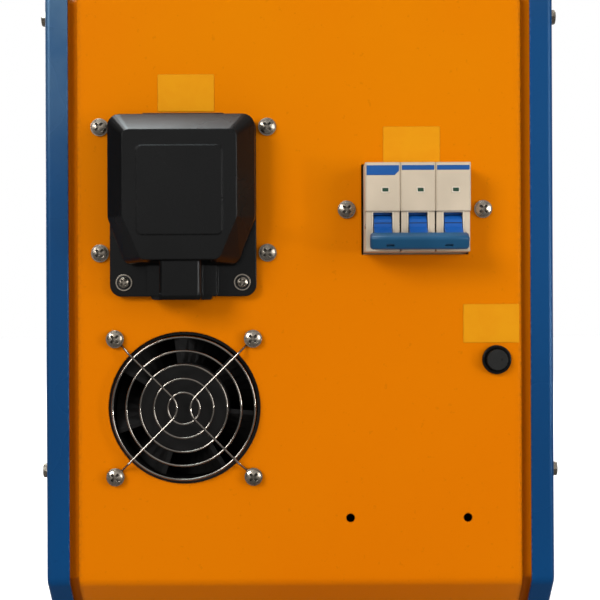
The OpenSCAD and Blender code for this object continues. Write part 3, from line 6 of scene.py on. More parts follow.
import bmesh
import bpy
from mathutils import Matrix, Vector


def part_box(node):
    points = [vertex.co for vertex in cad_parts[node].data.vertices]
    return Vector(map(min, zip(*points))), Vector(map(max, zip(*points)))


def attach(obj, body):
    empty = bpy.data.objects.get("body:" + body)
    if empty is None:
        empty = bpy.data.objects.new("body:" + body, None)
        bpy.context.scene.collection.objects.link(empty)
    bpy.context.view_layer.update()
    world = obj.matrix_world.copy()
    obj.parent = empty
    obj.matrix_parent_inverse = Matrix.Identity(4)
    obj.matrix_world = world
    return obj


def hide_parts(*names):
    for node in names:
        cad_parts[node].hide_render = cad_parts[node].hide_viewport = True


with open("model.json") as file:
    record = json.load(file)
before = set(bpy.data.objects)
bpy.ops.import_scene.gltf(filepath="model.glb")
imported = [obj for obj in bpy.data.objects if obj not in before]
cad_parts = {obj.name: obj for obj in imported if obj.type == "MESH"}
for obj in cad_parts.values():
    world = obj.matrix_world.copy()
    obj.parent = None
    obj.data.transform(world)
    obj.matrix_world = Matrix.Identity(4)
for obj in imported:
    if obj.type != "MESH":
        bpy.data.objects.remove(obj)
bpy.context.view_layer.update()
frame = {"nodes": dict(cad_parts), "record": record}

MM = 0.001
NODES = frame["nodes"]

# Places shared with the solids: both panel faces and the lower bend, in metres
BEND_ABOVE_CASE = 30
REAR_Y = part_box("rear_panel")[0].y
FRONT_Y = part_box("front_panel")[1].y
BEND_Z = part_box("left_side_cover")[0].z + BEND_ABOVE_CASE * MM

WHITE = (1.0, 1.0, 1.0, 1.0)

# Ranges that turn noise, angles and cover into masks
EDGE_TURN = (0.02, 0.22)
RUBBED = (0.45, 0.62)
TONE_DRIFT = (0.3, 0.7)
SPECK_PEAKS = (0.66, 0.74)
STREAK_PEAKS = (0.35, 0.65)
SHEEN_PATCHES = (0.2, 0.75)
SIDEWAYS = (0.6, 0.9)


def middle(node):
    """Centre of a node's box."""
    low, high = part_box(node)
    return (low + high) / 2


def rear(x, z, out):
    """Point on the rear panel, in mm: across as seen from behind, above the bend, and proud."""
    return Vector((x * MM, REAR_Y - out * MM, BEND_Z + z * MM))


def front(x, z, out):
    """The same on the front panel, across as its user sees it."""
    return Vector((-x * MM, FRONT_Y + out * MM, BEND_Z + z * MM))


def rear_place(node):
    """Middle of a node on the rear panel, in mm across and above the bend."""
    at = middle(node)
    return at.x / MM, (at.z - BEND_Z) / MM


def front_place(node):
    """Middle of a node on the front panel, in mm across and above the bend."""
    at = middle(node)
    return -at.x / MM, (at.z - BEND_Z) / MM


# Shader building blocks


class Sheet:
    """Adds nodes to a tree and links their sockets by name."""

    def __init__(self, tree):
        self.tree = tree

    def add(self, kind, inputs=None, **settings):
        node = self.tree.nodes.new("ShaderNode" + kind)
        for key, value in settings.items():
            setattr(node, key, value)
        for key, value in (inputs or {}).items():
            self.put(node.inputs[key], value)
        return node

    def put(self, socket, value):
        if isinstance(value, bpy.types.NodeSocket):
            self.tree.links.new(value, socket)
        elif hasattr(value, "outputs"):
            self.tree.links.new(value.outputs[0], socket)
        else:
            socket.default_value = value

    def math(self, operation, *values, clamp=False):
        node = self.add("Math", operation=operation, use_clamp=clamp)
        for socket, value in zip(node.inputs, values):
            self.put(socket, value)
        return node.outputs[0]

    def mix(self, factor, first, second, blend="MIX"):
        node = self.add("Mix", data_type="RGBA", blend_type=blend)
        self.put(node.inputs[0], factor)
        self.put(node.inputs[6], first)
        self.put(node.inputs[7], second)
        return node.outputs[2]

    def ramp(self, value, low, high):
        """Maps low..high to 0..1 with soft ends."""
        node = self.add("MapRange", {"Value": value, "From Min": low, "From Max": high},
                        interpolation_type="SMOOTHSTEP")
        return node.outputs[0]


def group(name, inputs, outputs, build):
    """Makes a shader node group; build(sheet, sockets in) returns the values to put out."""
    tree = bpy.data.node_groups.new(name, "ShaderNodeTree")
    for key, kind, value in inputs:
        socket = tree.interface.new_socket(key, in_out="INPUT", socket_type="NodeSocket" + kind)
        socket.default_value = value
    for key, kind in outputs:
        tree.interface.new_socket(key, in_out="OUTPUT", socket_type="NodeSocket" + kind)
    sheet = Sheet(tree)
    given = tree.nodes.new("NodeGroupInput").outputs
    out = tree.nodes.new("NodeGroupOutput")
    for key, value in build(sheet, given).items():
        sheet.put(out.inputs[key], value)
    return tree


def build_edge_wear(sheet, given):
    """Softened edges: the rounded normal, and a mask of rubbed edges broken up by noise."""
    rounded = sheet.add("Bevel", {"Radius": given["Width"]}, samples=4)
    flat = sheet.add("NewGeometry")
    along = sheet.add("VectorMath", {0: rounded.outputs[0], 1: flat.outputs["Normal"]},
                      operation="DOT_PRODUCT")
    turned = sheet.math("SUBTRACT", 1.0, along.outputs["Value"])
    place = sheet.add("TexCoord")
    noise = sheet.add("TexNoise", {"Vector": place.outputs["Object"], "Scale": given["Breakup"],
                                   "Detail": 4.0, "Roughness": 0.6})
    edge = sheet.ramp(turned, *EDGE_TURN)
    broken = sheet.ramp(noise.outputs[0], *RUBBED)
    mask = sheet.math("MULTIPLY", edge, broken)
    return {"Mask": sheet.math("MULTIPLY", mask, given["Amount"], clamp=True),
            "Normal": rounded.outputs[0]}


def build_skin(sheet, given):
    """Fine texture of a sprayed or moulded surface: height, slow drift of tone, and specks."""
    place = sheet.add("TexCoord")
    fine = sheet.add("TexNoise", {"Vector": place.outputs["Object"], "Scale": given["Grain"],
                                  "Detail": 3.0, "Roughness": 0.55})
    slow = sheet.add("TexNoise", {"Vector": place.outputs["Object"], "Scale": given["Drift"],
                                  "Detail": 3.0, "Roughness": 0.5})
    specks = sheet.add("TexNoise", {"Vector": place.outputs["Object"], "Scale": given["Specks"],
                                    "Detail": 2.0, "Roughness": 0.7})
    return {"Height": fine.outputs[0], "Drift": sheet.ramp(slow.outputs[0], *TONE_DRIFT),
            "Specks": sheet.ramp(specks.outputs[0], *SPECK_PEAKS)}


def build_brushed(sheet, given):
    """Streaks along one axis of the object: height and mask."""
    place = sheet.add("TexCoord")
    squeezed = sheet.add("VectorMath", {0: place.outputs["Object"], 1: given["Stretch"]},
                         operation="MULTIPLY")
    streaks = sheet.add("TexNoise", {"Vector": squeezed.outputs[0], "Scale": given["Scale"],
                                     "Detail": 5.0, "Roughness": 0.6})
    return {"Height": streaks.outputs[0], "Mask": sheet.ramp(streaks.outputs[0], *STREAK_PEAKS)}


def build_painted_sheen(sheet, given):
    """Painted light and painted sheen: a mask that rises along one direction, in soft patches,
    less on the sides.
    """
    place = sheet.add("TexCoord")
    along = sheet.add("VectorMath", {0: place.outputs["Object"], 1: given["Along"]},
                      operation="DOT_PRODUCT")
    rise = sheet.ramp(along.outputs["Value"], given["From"], given["To"])
    patches = sheet.add("TexNoise", {"Vector": place.outputs["Object"], "Scale": given["Patches"],
                                     "Detail": 4.0, "Roughness": 0.6})
    cloud = sheet.ramp(patches.outputs[0], *SHEEN_PATCHES)
    facing = sheet.add("SeparateXYZ", {"Vector": sheet.add("NewGeometry").outputs["Normal"]})
    sideways = sheet.ramp(sheet.math("ABSOLUTE", facing.outputs["X"]), *SIDEWAYS)
    kept = sheet.mix(sideways, WHITE, given["Sides"])
    return {"Mask": sheet.math("MULTIPLY", sheet.math("MULTIPLY", rise, cloud), kept)}


def build_painted_shade(sheet, given):
    """Painted shade: a mask from ambient occlusion that darkens recesses and where pieces meet."""
    cover = sheet.add("AmbientOcclusion", {"Distance": given["Reach"]}, samples=6)
    closed = sheet.math("SUBTRACT", 1.0, cover.outputs["AO"])
    mask = sheet.ramp(closed, given["From"], given["To"])
    return {"Mask": sheet.math("MULTIPLY", mask, given["Amount"], clamp=True)}


EDGE_WEAR = group("edge_wear", [("Width", "Float", 0.001), ("Breakup", "Float", 300.0),
                                ("Amount", "Float", 1.0)],
                  [("Mask", "Float"), ("Normal", "Vector")], build_edge_wear)
SKIN = group("surface_skin", [("Grain", "Float", 900.0), ("Drift", "Float", 9.0),
                              ("Specks", "Float", 200.0)],
             [("Height", "Float"), ("Drift", "Float"), ("Specks", "Float")], build_skin)
BRUSHED = group("brushed_streaks", [("Stretch", "Vector", (1.0, 1.0, 1.0)),
                                    ("Scale", "Float", 400.0)],
                [("Height", "Float"), ("Mask", "Float")], build_brushed)
SHEEN_RAMP = group("painted_sheen_ramp", [("Along", "Vector", (0.0, 0.0, 1.0)), ("From", "Float", 0.0),
                              ("To", "Float", 1.0), ("Patches", "Float", 30.0),
                              ("Sides", "Float", 1.0)],
             [("Mask", "Float")], build_painted_sheen)
PAINTED_SHADE = group("painted_crevice_shade", [("Reach", "Float", 0.002), ("From", "Float", 0.2),
                                  ("To", "Float", 0.8), ("Amount", "Float", 1.0)],
                [("Mask", "Float")], build_painted_shade)


def use(sheet, tree, **inputs):
    """Places a node group in a material with its own values."""
    node = sheet.tree.nodes.new("ShaderNodeGroup")
    node.node_tree = tree
    for key, value in inputs.items():
        sheet.put(node.inputs[key], value)
    return node.outputs


def material(name):
    """An empty node material: its sheet, its shader and the material."""
    made = bpy.data.materials.new(name)
    made.use_nodes = True
    made.node_tree.nodes.clear()
    sheet = Sheet(made.node_tree)
    shader = sheet.add("BsdfPrincipled")
    out = sheet.add("OutputMaterial")
    sheet.put(out.inputs["Surface"], shader.outputs[0])
    return made, sheet, shader


def shade(colour, factor):
    """A colour made darker or lighter."""
    return (*[min(1.0, c * factor) for c in colour[:3]], 1.0)


def srgb(red, green, blue):
    """A colour given as 0-255 screen values, in linear light."""
    def linear(v):
        v /= 255
        return v / 12.92 if v <= 0.04045 else ((v + 0.055) / 1.055) ** 2.4
    return (linear(red), linear(green), linear(blue), 1.0)


def relief(sheet, shader, height, strength, under, deep=0.0003):
    """Bump on the softened normal."""
    bump = sheet.add("Bump", {"Strength": strength, "Distance": deep, "Height": height,
                              "Normal": under})
    sheet.put(shader.inputs["Normal"], bump)


# Powder coat, in metres: radius of a fold and what the panel's side folds add to it, how far
# before a fold that starts, and where the groove at the right begins and ends, across which the
# painted shade grows weaker. Then shares of painted shade in recesses and of specks, the tones
# of both, and what wear does
FOLD_R = 0.0011
SIDE_FOLD_MORE = 0.0026
FOLD_FADE = 0.002
RIGHT_GROOVE = (0.110, 0.116)
# Painted shade: how strong it is, how much weaker it is in the right groove, and its tone
CREVICE_SHADE = 0.7
SHADE_RIGHT_LESS = -0.6
SHADE_TONE = 0.35
SPECK_SHARE = 0.16
SPECK_TONE = 0.45
DRIFT_ROUGHER = 0.08
WORN_ROUGHER = 0.1
WORN_METAL = 0.5
PEEL = 0.14
PEEL_DEEP = 0.0004


def powder_coat(name, colour, drift_colour, primer, gloss=0.36, wear=0.8, shine=0.3,
                glint=WHITE, painted_sheen=None, fold_at=None):
    """Sprayed and baked coat: orange-peel grain, drift of tone, bare metal at rubbed edges,
    painted shade in recesses, optional painted sheen.
    """
    made, sheet, shader = material(name)
    place = sheet.add("TexCoord")
    parts = sheet.add("SeparateXYZ", {"Vector": place.outputs["Object"]})
    fold = FOLD_R
    if fold_at:
        beside = sheet.ramp(sheet.math("ABSOLUTE", parts.outputs["X"]), fold_at - FOLD_FADE,
                            fold_at)
        fold = sheet.math("MULTIPLY_ADD", beside, SIDE_FOLD_MORE, FOLD_R)
    skin = use(sheet, SKIN, Grain=1100.0, Drift=7.0, Specks=260.0)
    worn = use(sheet, EDGE_WEAR, Width=fold, Breakup=420.0, Amount=wear)
    right_side = sheet.ramp(parts.outputs["X"], *RIGHT_GROOVE)
    # Painted shade in recesses and in the grooves beside the flanges, weaker in the right groove
    shade_mask = use(sheet, PAINTED_SHADE, Reach=0.004, From=0.25, To=1.0,
                Amount=sheet.math("MULTIPLY_ADD", right_side, SHADE_RIGHT_LESS, CREVICE_SHADE))
    tone = sheet.mix(skin["Drift"], colour, drift_colour)
    # Painted light or painted sheen: a paler tone laid on along the given direction
    if painted_sheen:
        sheen_mask = use(sheet, SHEEN_RAMP, Along=painted_sheen["along"], From=painted_sheen["from"], To=painted_sheen["to"],
                   Patches=painted_sheen["patches"], Sides=painted_sheen["sides"])
        tone = sheet.mix(sheet.math("MULTIPLY", sheen_mask["Mask"], painted_sheen["amount"]), tone,
                         painted_sheen["colour"])
    specks = sheet.math("MULTIPLY", skin["Specks"], SPECK_SHARE)
    # Specks of dirt, then the painted shade of recesses
    dirt_and_shade = sheet.mix(specks, tone, shade(colour, SPECK_TONE))
    dirt_and_shade = sheet.mix(shade_mask["Mask"], dirt_and_shade, shade(colour, SHADE_TONE))
    sheet.put(shader.inputs["Base Color"], sheet.mix(worn["Mask"], dirt_and_shade, primer))
    rough = sheet.math("MULTIPLY_ADD", skin["Drift"], DRIFT_ROUGHER, gloss)
    sheet.put(shader.inputs["Roughness"],
              sheet.math("MULTIPLY_ADD", worn["Mask"], WORN_ROUGHER, rough))
    sheet.put(shader.inputs["Metallic"], sheet.math("MULTIPLY", worn["Mask"], WORN_METAL))
    shader.inputs["Specular IOR Level"].default_value = shine
    shader.inputs["Specular Tint"].default_value = glint
    relief(sheet, shader, skin["Height"], PEEL, worn["Normal"], deep=PEEL_DEEP)
    return made


# Moulded plastic: how far its tone drifts, the tone of its painted shade in recesses, how scuffed
# edges fade and lift, and the roughness of its drift and of its clear coat
MOULD_TONES = (0.88, 1.12)
MOULD_SHADE_TONE = 0.25
SCUFF_FADE = 0.8
SCUFF_LIFT = 0.03
MOULD_ROUGHER = 0.1
COAT_ROUGHNESS = 0.12


def moulded(name, colour, gloss, grain=1500.0, relief_by=0.12, coat=0.0, scuff=0.5, shine=0.5,
            soft=0.0006):
    """Moulded plastic: fine grain, slow drift, painted shade in recesses, paler scuffed edges."""
    made, sheet, shader = material(name)
    skin = use(sheet, SKIN, Grain=grain, Drift=24.0, Specks=420.0)
    worn = use(sheet, EDGE_WEAR, Width=soft, Breakup=500.0, Amount=scuff)
    # Painted shade in recesses and where pieces meet
    shade_mask = use(sheet, PAINTED_SHADE, Reach=0.0015, From=0.3, To=1.0, Amount=0.7)
    tone = sheet.mix(skin["Drift"], *(shade(colour, factor) for factor in MOULD_TONES))
    tone = sheet.mix(shade_mask["Mask"], tone, shade(colour, MOULD_SHADE_TONE))
    pale = tuple(c * SCUFF_FADE + SCUFF_LIFT for c in colour[:3]) + (1.0,)
    sheet.put(shader.inputs["Base Color"], sheet.mix(worn["Mask"], tone, pale))
    sheet.put(shader.inputs["Roughness"],
              sheet.math("MULTIPLY_ADD", skin["Drift"], MOULD_ROUGHER, gloss))
    shader.inputs["Specular IOR Level"].default_value = shine
    shader.inputs["Coat Weight"].default_value = coat
    shader.inputs["Coat Roughness"].default_value = COAT_ROUGHNESS
    relief(sheet, shader, skin["Height"], relief_by, worn["Normal"])
    return made


# Metal: the tones of tarnish, of painted shade in recesses and of rubbed edges, how much rougher
# the shaded recesses are, and the streaks
TARNISH_TONE = 0.45
METAL_SHADE_TONE = 0.05
EDGE_TONE = 1.2
RECESS_ROUGHER = 0.3
STREAK_RELIEF = 0.08


def metal(name, colour, gloss, stretch=(1.0, 1.0, 1.0), tarnish=0.25, uneven=0.12):
    """Bare or plated metal: streaks, duller patches, painted shade in recesses and brighter edges.
    """
    made, sheet, shader = material(name)
    streaks = use(sheet, BRUSHED, Stretch=stretch, Scale=600.0)
    skin = use(sheet, SKIN, Grain=1200.0, Drift=60.0, Specks=300.0)
    worn = use(sheet, EDGE_WEAR, Width=0.0003, Breakup=300.0, Amount=0.8)
    tarnish_and_shade = sheet.mix(sheet.math("MULTIPLY", skin["Drift"], tarnish), colour,
                     shade(colour, TARNISH_TONE))
    # Painted shade: recesses such as screw slots are darkened and made rougher
    shade_mask = use(sheet, PAINTED_SHADE, Reach=0.0022, From=0.22, To=0.62, Amount=0.95)
    tarnish_and_shade = sheet.mix(shade_mask["Mask"], tarnish_and_shade, shade(colour, METAL_SHADE_TONE))
    sheet.put(shader.inputs["Base Color"],
              sheet.mix(worn["Mask"], tarnish_and_shade, shade(colour, EDGE_TONE)))
    rough = sheet.math("MULTIPLY_ADD", streaks["Mask"], uneven, gloss)
    sheet.put(shader.inputs["Roughness"],
              sheet.math("MULTIPLY_ADD", shade_mask["Mask"], RECESS_ROUGHER, rough))
    shader.inputs["Metallic"].default_value = 1.0
    relief(sheet, shader, streaks["Height"], STREAK_RELIEF, worn["Normal"])
    return made


# Clear lens: its second tone, how much rougher its specks are, and how light passes through
LENS_TONE = 0.85
LENS_SPECK_ROUGHER = 0.2
LENS_CLEAR = 0.75
LENS_IOR = 1.49


def clear_lens(name, colour, gloss=0.12):
    """Tinted see-through plastic."""
    made, sheet, shader = material(name)
    skin = use(sheet, SKIN, Grain=700.0, Drift=30.0, Specks=300.0)
    sheet.put(shader.inputs["Base Color"],
              sheet.mix(skin["Drift"], colour, shade(colour, LENS_TONE)))
    sheet.put(shader.inputs["Roughness"],
              sheet.math("MULTIPLY_ADD", skin["Specks"], LENS_SPECK_ROUGHER, gloss))
    shader.inputs["Transmission Weight"].default_value = LENS_CLEAR
    shader.inputs["IOR"].default_value = LENS_IOR
    return made


# Sticker film: the tone of its edges, its roughness with and without drift, shine and ripples
FILM_EDGE_TONE = 0.85
FILM_ROUGHER = 0.15
FILM_ROUGHNESS = 0.4
FILM_SHINE = 0.3
FILM_GLINT = (1.0, 0.7, 0.2, 1.0)
FILM_RIPPLE = 0.25


def sticker_film(name, colour, pressed):
    """Printed film stuck on the panel: faint mottling, yellowed edges and shallow ripples."""
    made, sheet, shader = material(name)
    skin = use(sheet, SKIN, Grain=260.0, Drift=120.0, Specks=900.0)
    worn = use(sheet, EDGE_WEAR, Width=0.0008, Breakup=900.0, Amount=0.7)
    tone = sheet.mix(skin["Drift"], colour, pressed)
    sheet.put(shader.inputs["Base Color"],
              sheet.mix(worn["Mask"], tone, shade(pressed, FILM_EDGE_TONE)))
    sheet.put(shader.inputs["Roughness"],
              sheet.math("MULTIPLY_ADD", skin["Drift"], FILM_ROUGHER, FILM_ROUGHNESS))
    shader.inputs["Specular IOR Level"].default_value = FILM_SHINE
    shader.inputs["Specular Tint"].default_value = FILM_GLINT
    relief(sheet, shader, skin["Height"], FILM_RIPPLE, worn["Normal"])
    return made


# Painted light: the orange turns yellower towards the top, and a painted sheen pales the flanges'
# top left
PANEL_TOP_LIGHT = {"along": (0.0, 0.0, 1.0), "from": 0.10, "to": 0.42, "patches": 3.0, "amount": 1.0,
              "sides": 1.0, "colour": srgb(224, 133, 2)}
FLANGE_SHEEN = {"along": (-0.4, 0.0, 1.0), "from": 0.27, "to": 0.43, "patches": 14.0,
               "amount": 0.9, "sides": 0.3, "colour": srgb(82, 110, 134)}
FINISHES = {
    "orange_paint": powder_coat("orange_paint", srgb(224, 120, 1), srgb(222, 116, 0),
                                srgb(170, 100, 30), wear=0.5, shine=0.25,
                                glint=(1.0, 0.5, 0.05, 1.0), painted_sheen=PANEL_TOP_LIGHT, fold_at=0.110),
    "blue_paint": powder_coat("blue_paint", srgb(6, 66, 118), srgb(4, 58, 106),
                              srgb(96, 132, 160), gloss=0.22, wear=0.7, shine=0.5,
                              glint=(0.4, 0.7, 1.0, 1.0), painted_sheen=FLANGE_SHEEN),
    "zinc_steel": metal("zinc_steel", srgb(196, 184, 168), 0.18, tarnish=0.6),
    "foot_rubber": moulded("foot_rubber", srgb(24, 24, 24), 0.72, grain=800.0, relief_by=0.3),
    "handle_coating": powder_coat("handle_coating", srgb(22, 22, 23), srgb(28, 28, 29),
                                  srgb(110, 110, 108), gloss=0.42, wear=0.7),
    "black_moulding": moulded("black_moulding", srgb(9, 9, 9), 0.18, grain=1300.0,
                              relief_by=0.04, scuff=0.35, soft=0.0009, shine=0.27),
    "cream_moulding": moulded("cream_moulding", srgb(199, 183, 160), 0.42, relief_by=0.06,
                              scuff=0.2, soft=0.0009, shine=0.4),
    "blue_moulding": moulded("blue_moulding", srgb(16, 84, 162), 0.30, relief_by=0.05, shine=0.35),
    "ground_steel": metal("ground_steel", srgb(178, 178, 176), 0.22, stretch=(30.0, 1.0, 1.0)),
    "nickel_plate": metal("nickel_plate", srgb(198, 196, 190), 0.16, tarnish=0.2),
    "copper_wire": metal("copper_wire", srgb(170, 92, 50), 0.3, stretch=(1.0, 60.0, 1.0)),
    "fascia_plate": powder_coat("fascia_plate", srgb(58, 62, 68), srgb(52, 56, 62),
                                srgb(150, 150, 150), gloss=0.5, wear=0.4),
    "red_lens": clear_lens("red_lens", srgb(150, 14, 12)),
    "green_lamp": moulded("green_lamp", srgb(46, 168, 70), 0.14, relief_by=0.03, coat=0.6,
                          scuff=0.1),
    "green_button": moulded("green_button", srgb(38, 140, 62), 0.3, relief_by=0.05, coat=0.3),
    "red_button": moulded("red_button", srgb(196, 34, 28), 0.3, relief_by=0.05, coat=0.3),
    "knob_black": moulded("knob_black", srgb(24, 24, 25), 0.45, relief_by=0.15),
    "red_insulator": moulded("red_insulator", srgb(128, 48, 34), 0.5, grain=500.0, relief_by=0.2),
    "copper": metal("copper", srgb(232, 158, 118), 0.34, stretch=(1.0, 1.0, 20.0), tarnish=0.4),
    "brass": metal("brass", srgb(226, 190, 116), 0.28, tarnish=0.4),
    "cooling_aluminium": metal("cooling_aluminium", srgb(186, 188, 190), 0.3,
                               stretch=(1.0, 24.0, 1.0)),
    "module_black": moulded("module_black", srgb(34, 34, 37), 0.5),
    "capacitor_case": metal("capacitor_case", srgb(150, 156, 166), 0.32, stretch=(1.0, 1.0, 0.1)),
    "ferrite": moulded("ferrite", srgb(58, 58, 60), 0.62, grain=600.0, relief_by=0.3),
    "board_green": moulded("board_green", srgb(22, 96, 50), 0.35),
    "hose_blue": moulded("hose_blue", srgb(34, 76, 150), 0.34, coat=0.2),
    "fuse_glass": clear_lens("fuse_glass", srgb(232, 238, 238), gloss=0.05),
}
FAN_PLASTIC = moulded("fan_plastic", srgb(15, 14, 13), 0.55, grain=900.0, relief_by=0.2, scuff=0.2,
                      shine=0.2)
FUSE_PLASTIC = moulded("fuse_plastic", srgb(26, 26, 24), 0.5, grain=1200.0, relief_by=0.2,
                       scuff=0.3, shine=0.3)
TIE_PLASTIC = moulded("tie_bar_plastic", srgb(22, 78, 114), 0.34, relief_by=0.05, scuff=0.3,
                      shine=0.35)
GUARD_WIRE = metal("guard_wire", srgb(176, 168, 158), 0.08, tarnish=0.6, uneven=0.06)
STICKER = sticker_film("sticker_film", srgb(228, 150, 16), srgb(226, 145, 12))
BAND_BLUE = moulded("band_print", srgb(18, 80, 148), 0.36, relief_by=0.03, scuff=0.0, shine=0.3)
WINDOW_GREEN = moulded("flag_window", srgb(20, 62, 40), 0.16, relief_by=0.02, coat=0.5, scuff=0.0)
RIM_PALE = moulded("window_rim", srgb(216, 204, 184), 0.36, relief_by=0.03, scuff=0.1)
SEAM_SHADOW_PAINT = moulded("seam_shadow", srgb(12, 26, 48), 0.6, relief_by=0.05, scuff=0.0)
SEAL_RUBBER = moulded("seal_rubber", srgb(14, 14, 14), 0.6, grain=900.0, relief_by=0.2, scuff=0.0)
PRINT_PALE = moulded("pale_print", srgb(206, 208, 206), 0.5, grain=2400.0, relief_by=0.05,
                     scuff=0.3)
SEGMENT_DULL = moulded("unlit_segment", srgb(150, 48, 42), 0.4, relief_by=0.02, scuff=0.0)
FLOW_BLUE = moulded("cold_water_print", srgb(30, 92, 170), 0.5, relief_by=0.05)
FLOW_RED = moulded("warm_water_print", srgb(178, 36, 30), 0.5, relief_by=0.05)

SLOT_OF = {row["node"]: row["material_slot"] for row in frame["record"]["subparts"]}
OWN_FINISH = {"fan_rotor": FAN_PLASTIC, "fan_frame": FAN_PLASTIC, "fan_guard": GUARD_WIRE,
              "fuse_cap": FUSE_PLASTIC, "breaker_tie_bar": TIE_PLASTIC}
for node_name, node_object in NODES.items():
    node_object.data.materials.clear()
    node_object.data.materials.append(OWN_FINISH.get(node_name, FINISHES[SLOT_OF[node_name]]))


# Outlines in mm, and the flat pieces made from them


def rounded_box(width, height, radius, x=0.0, z=0.0, steps=5):
    """Outline of a rectangle with round corners."""
    points = []
    for turn, (sx, sz) in enumerate(((1, 1), (-1, 1), (-1, -1), (1, -1))):
        for step in range(steps + 1):
            angle = math.radians(90 * (turn + step / steps))
            points.append((x + sx * (width / 2 - radius) + radius * math.cos(angle),
                           z + sz * (height / 2 - radius) + radius * math.sin(angle)))
    return points


def disc(radius, x=0.0, z=0.0, steps=40):
    """Outline of a circle."""
    turns = [math.tau * i / steps for i in range(steps)]
    return [(x + radius * math.cos(turn), z + radius * math.sin(turn)) for turn in turns]


def capsule(start, end, width, steps=4):
    """Outline of a stroke with round ends."""
    angle = math.atan2(end[1] - start[1], end[0] - start[0])
    points = []
    for centre, first in ((end, angle - math.pi / 2), (start, angle + math.pi / 2)):
        for step in range(steps + 1):
            turn = first + math.pi * step / steps
            points.append((centre[0] + width / 2 * math.cos(turn),
                           centre[1] + width / 2 * math.sin(turn)))
    return points


def slab(shape, outline, place, low, high):
    """Adds a flat piece that fills an outline between two distances from the panel."""
    lower = [shape.verts.new(place(u, v, low)) for u, v in outline]
    upper = [shape.verts.new(place(u, v, high)) for u, v in outline]
    shape.faces.new(lower)
    shape.faces.new(upper)
    for i in range(len(outline)):
        j = (i + 1) % len(outline)
        shape.faces.new((lower[i], lower[j], upper[j], upper[i]))


def skin_over(shape, outlines, place):
    """Joins outlines of as many points, each at its own distance, into one closed ring."""
    loops = [[shape.verts.new(place(u, v, out)) for u, v in outline] for outline, out in outlines]
    for first, second in zip(loops, loops[1:] + loops[:1]):
        for i in range(len(first)):
            j = (i + 1) % len(first)
            shape.faces.new((first[i], first[j], second[j], second[i]))


def collar(shape, inner, outer, place, low, high):
    """Adds a flat ring between two outlines of as many points."""
    skin_over(shape, [(outer, low), (outer, high), (inner, high), (inner, low)], place)


SHARP_FROM = math.radians(35)


def piece(name, shape, finish, body="case", soften=0.0, round_shape=False):
    """Turns a finished shape into a named piece that rides on a body."""
    bmesh.ops.recalc_face_normals(shape, faces=shape.faces)
    mesh = bpy.data.meshes.new(name)
    shape.to_mesh(mesh)
    shape.free()
    mesh.materials.append(finish)
    if round_shape:
        mesh.shade_smooth()
        mesh.set_sharp_from_angle(angle=SHARP_FROM)
    made = bpy.data.objects.new(name, mesh)
    bpy.context.scene.collection.objects.link(made)
    if soften:
        edge = made.modifiers.new("softened_edges", "BEVEL")
        edge.width = soften * MM
        edge.segments = 2
        edge.limit_method = "ANGLE"
    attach(made, body)
    return made


# Prints and trims start a little under the face they lie on, and stand this much proud, in mm
SUNK = 0.05
PRINT = 0.08
BAND = 0.06
RIM = 0.2
WINDOW_RIM = 0.25
BUTTON_MARK = 0.1
WATER_RING = 0.12

# Blank stickers above the inlet, the breaker and the fuse: across, up, width and height
STICKERS = {"inlet_sticker": (-58.6, 254.4, 29.5, 19.5),
            "breaker_sticker": (58.4, 227.2, 29.7, 18.8),
            "fuse_sticker": (99.4, 134.2, 29.2, 20.2)}
STICKER_ROUND = 0.8
STICKER_FILM = (0.02, 0.2)
for sticker_name, (x, z, width, height) in STICKERS.items():
    sheet_shape = bmesh.new()
    slab(sheet_shape, rounded_box(width, height, STICKER_ROUND, x, z), rear, *STICKER_FILM)
    piece(sticker_name, sheet_shape, STICKER, soften=0.06)

# Breaker: printed bands, flag windows, rims of the lever windows, and dark strips painted as the
# shadow in the seams on the levers
POLES = (1, 2, 3)
NOSE_OUT = 20.0
NOSE_STEP = 1.2
LEVER_DROP = 9.5
LEVER_UP = math.radians(30)
PIVOT_OUT = 14.0
DRUM_R = 5.5
BAND_HALF = 8.2
BAND_TOP = 21.0
TALL_BAND = (5.0, 2.2)
LOW_BAND = (2.4, 0.3)
FLAG_ASIDE = 1.3
FLAG_UP = 8.6
FLAG_SIZE = (3.0, 1.8, 0.3)
FLAG_RIM_SIZE = (4.4, 3.2, 0.8)
WINDOW_SIZE = (9.7, 13.6, 0.3)
WINDOW_RIM_SIZE = (11.1, 14.8, 0.6)
SEAM_HALF = 4.4
SEAM_TURNS = (0.21, 0.29)
SEAM_DEPTHS = (-0.2, 0.04)
SHIELD_SIZE = (9.3, 1.15, 0.2)
SHIELD_UP = 6.24
SHIELD_OUT = (12.5, 15.4)


def drum_of(pole_x, pole_z):
    """Gives the function that places points on a lever's drum, by its turn above level."""
    def drum(x, turn, out):
        reach = DRUM_R + out
        return rear(pole_x + x, pole_z - LEVER_DROP + reach * math.sin(turn),
                    PIVOT_OUT + reach * math.cos(turn))
    return drum


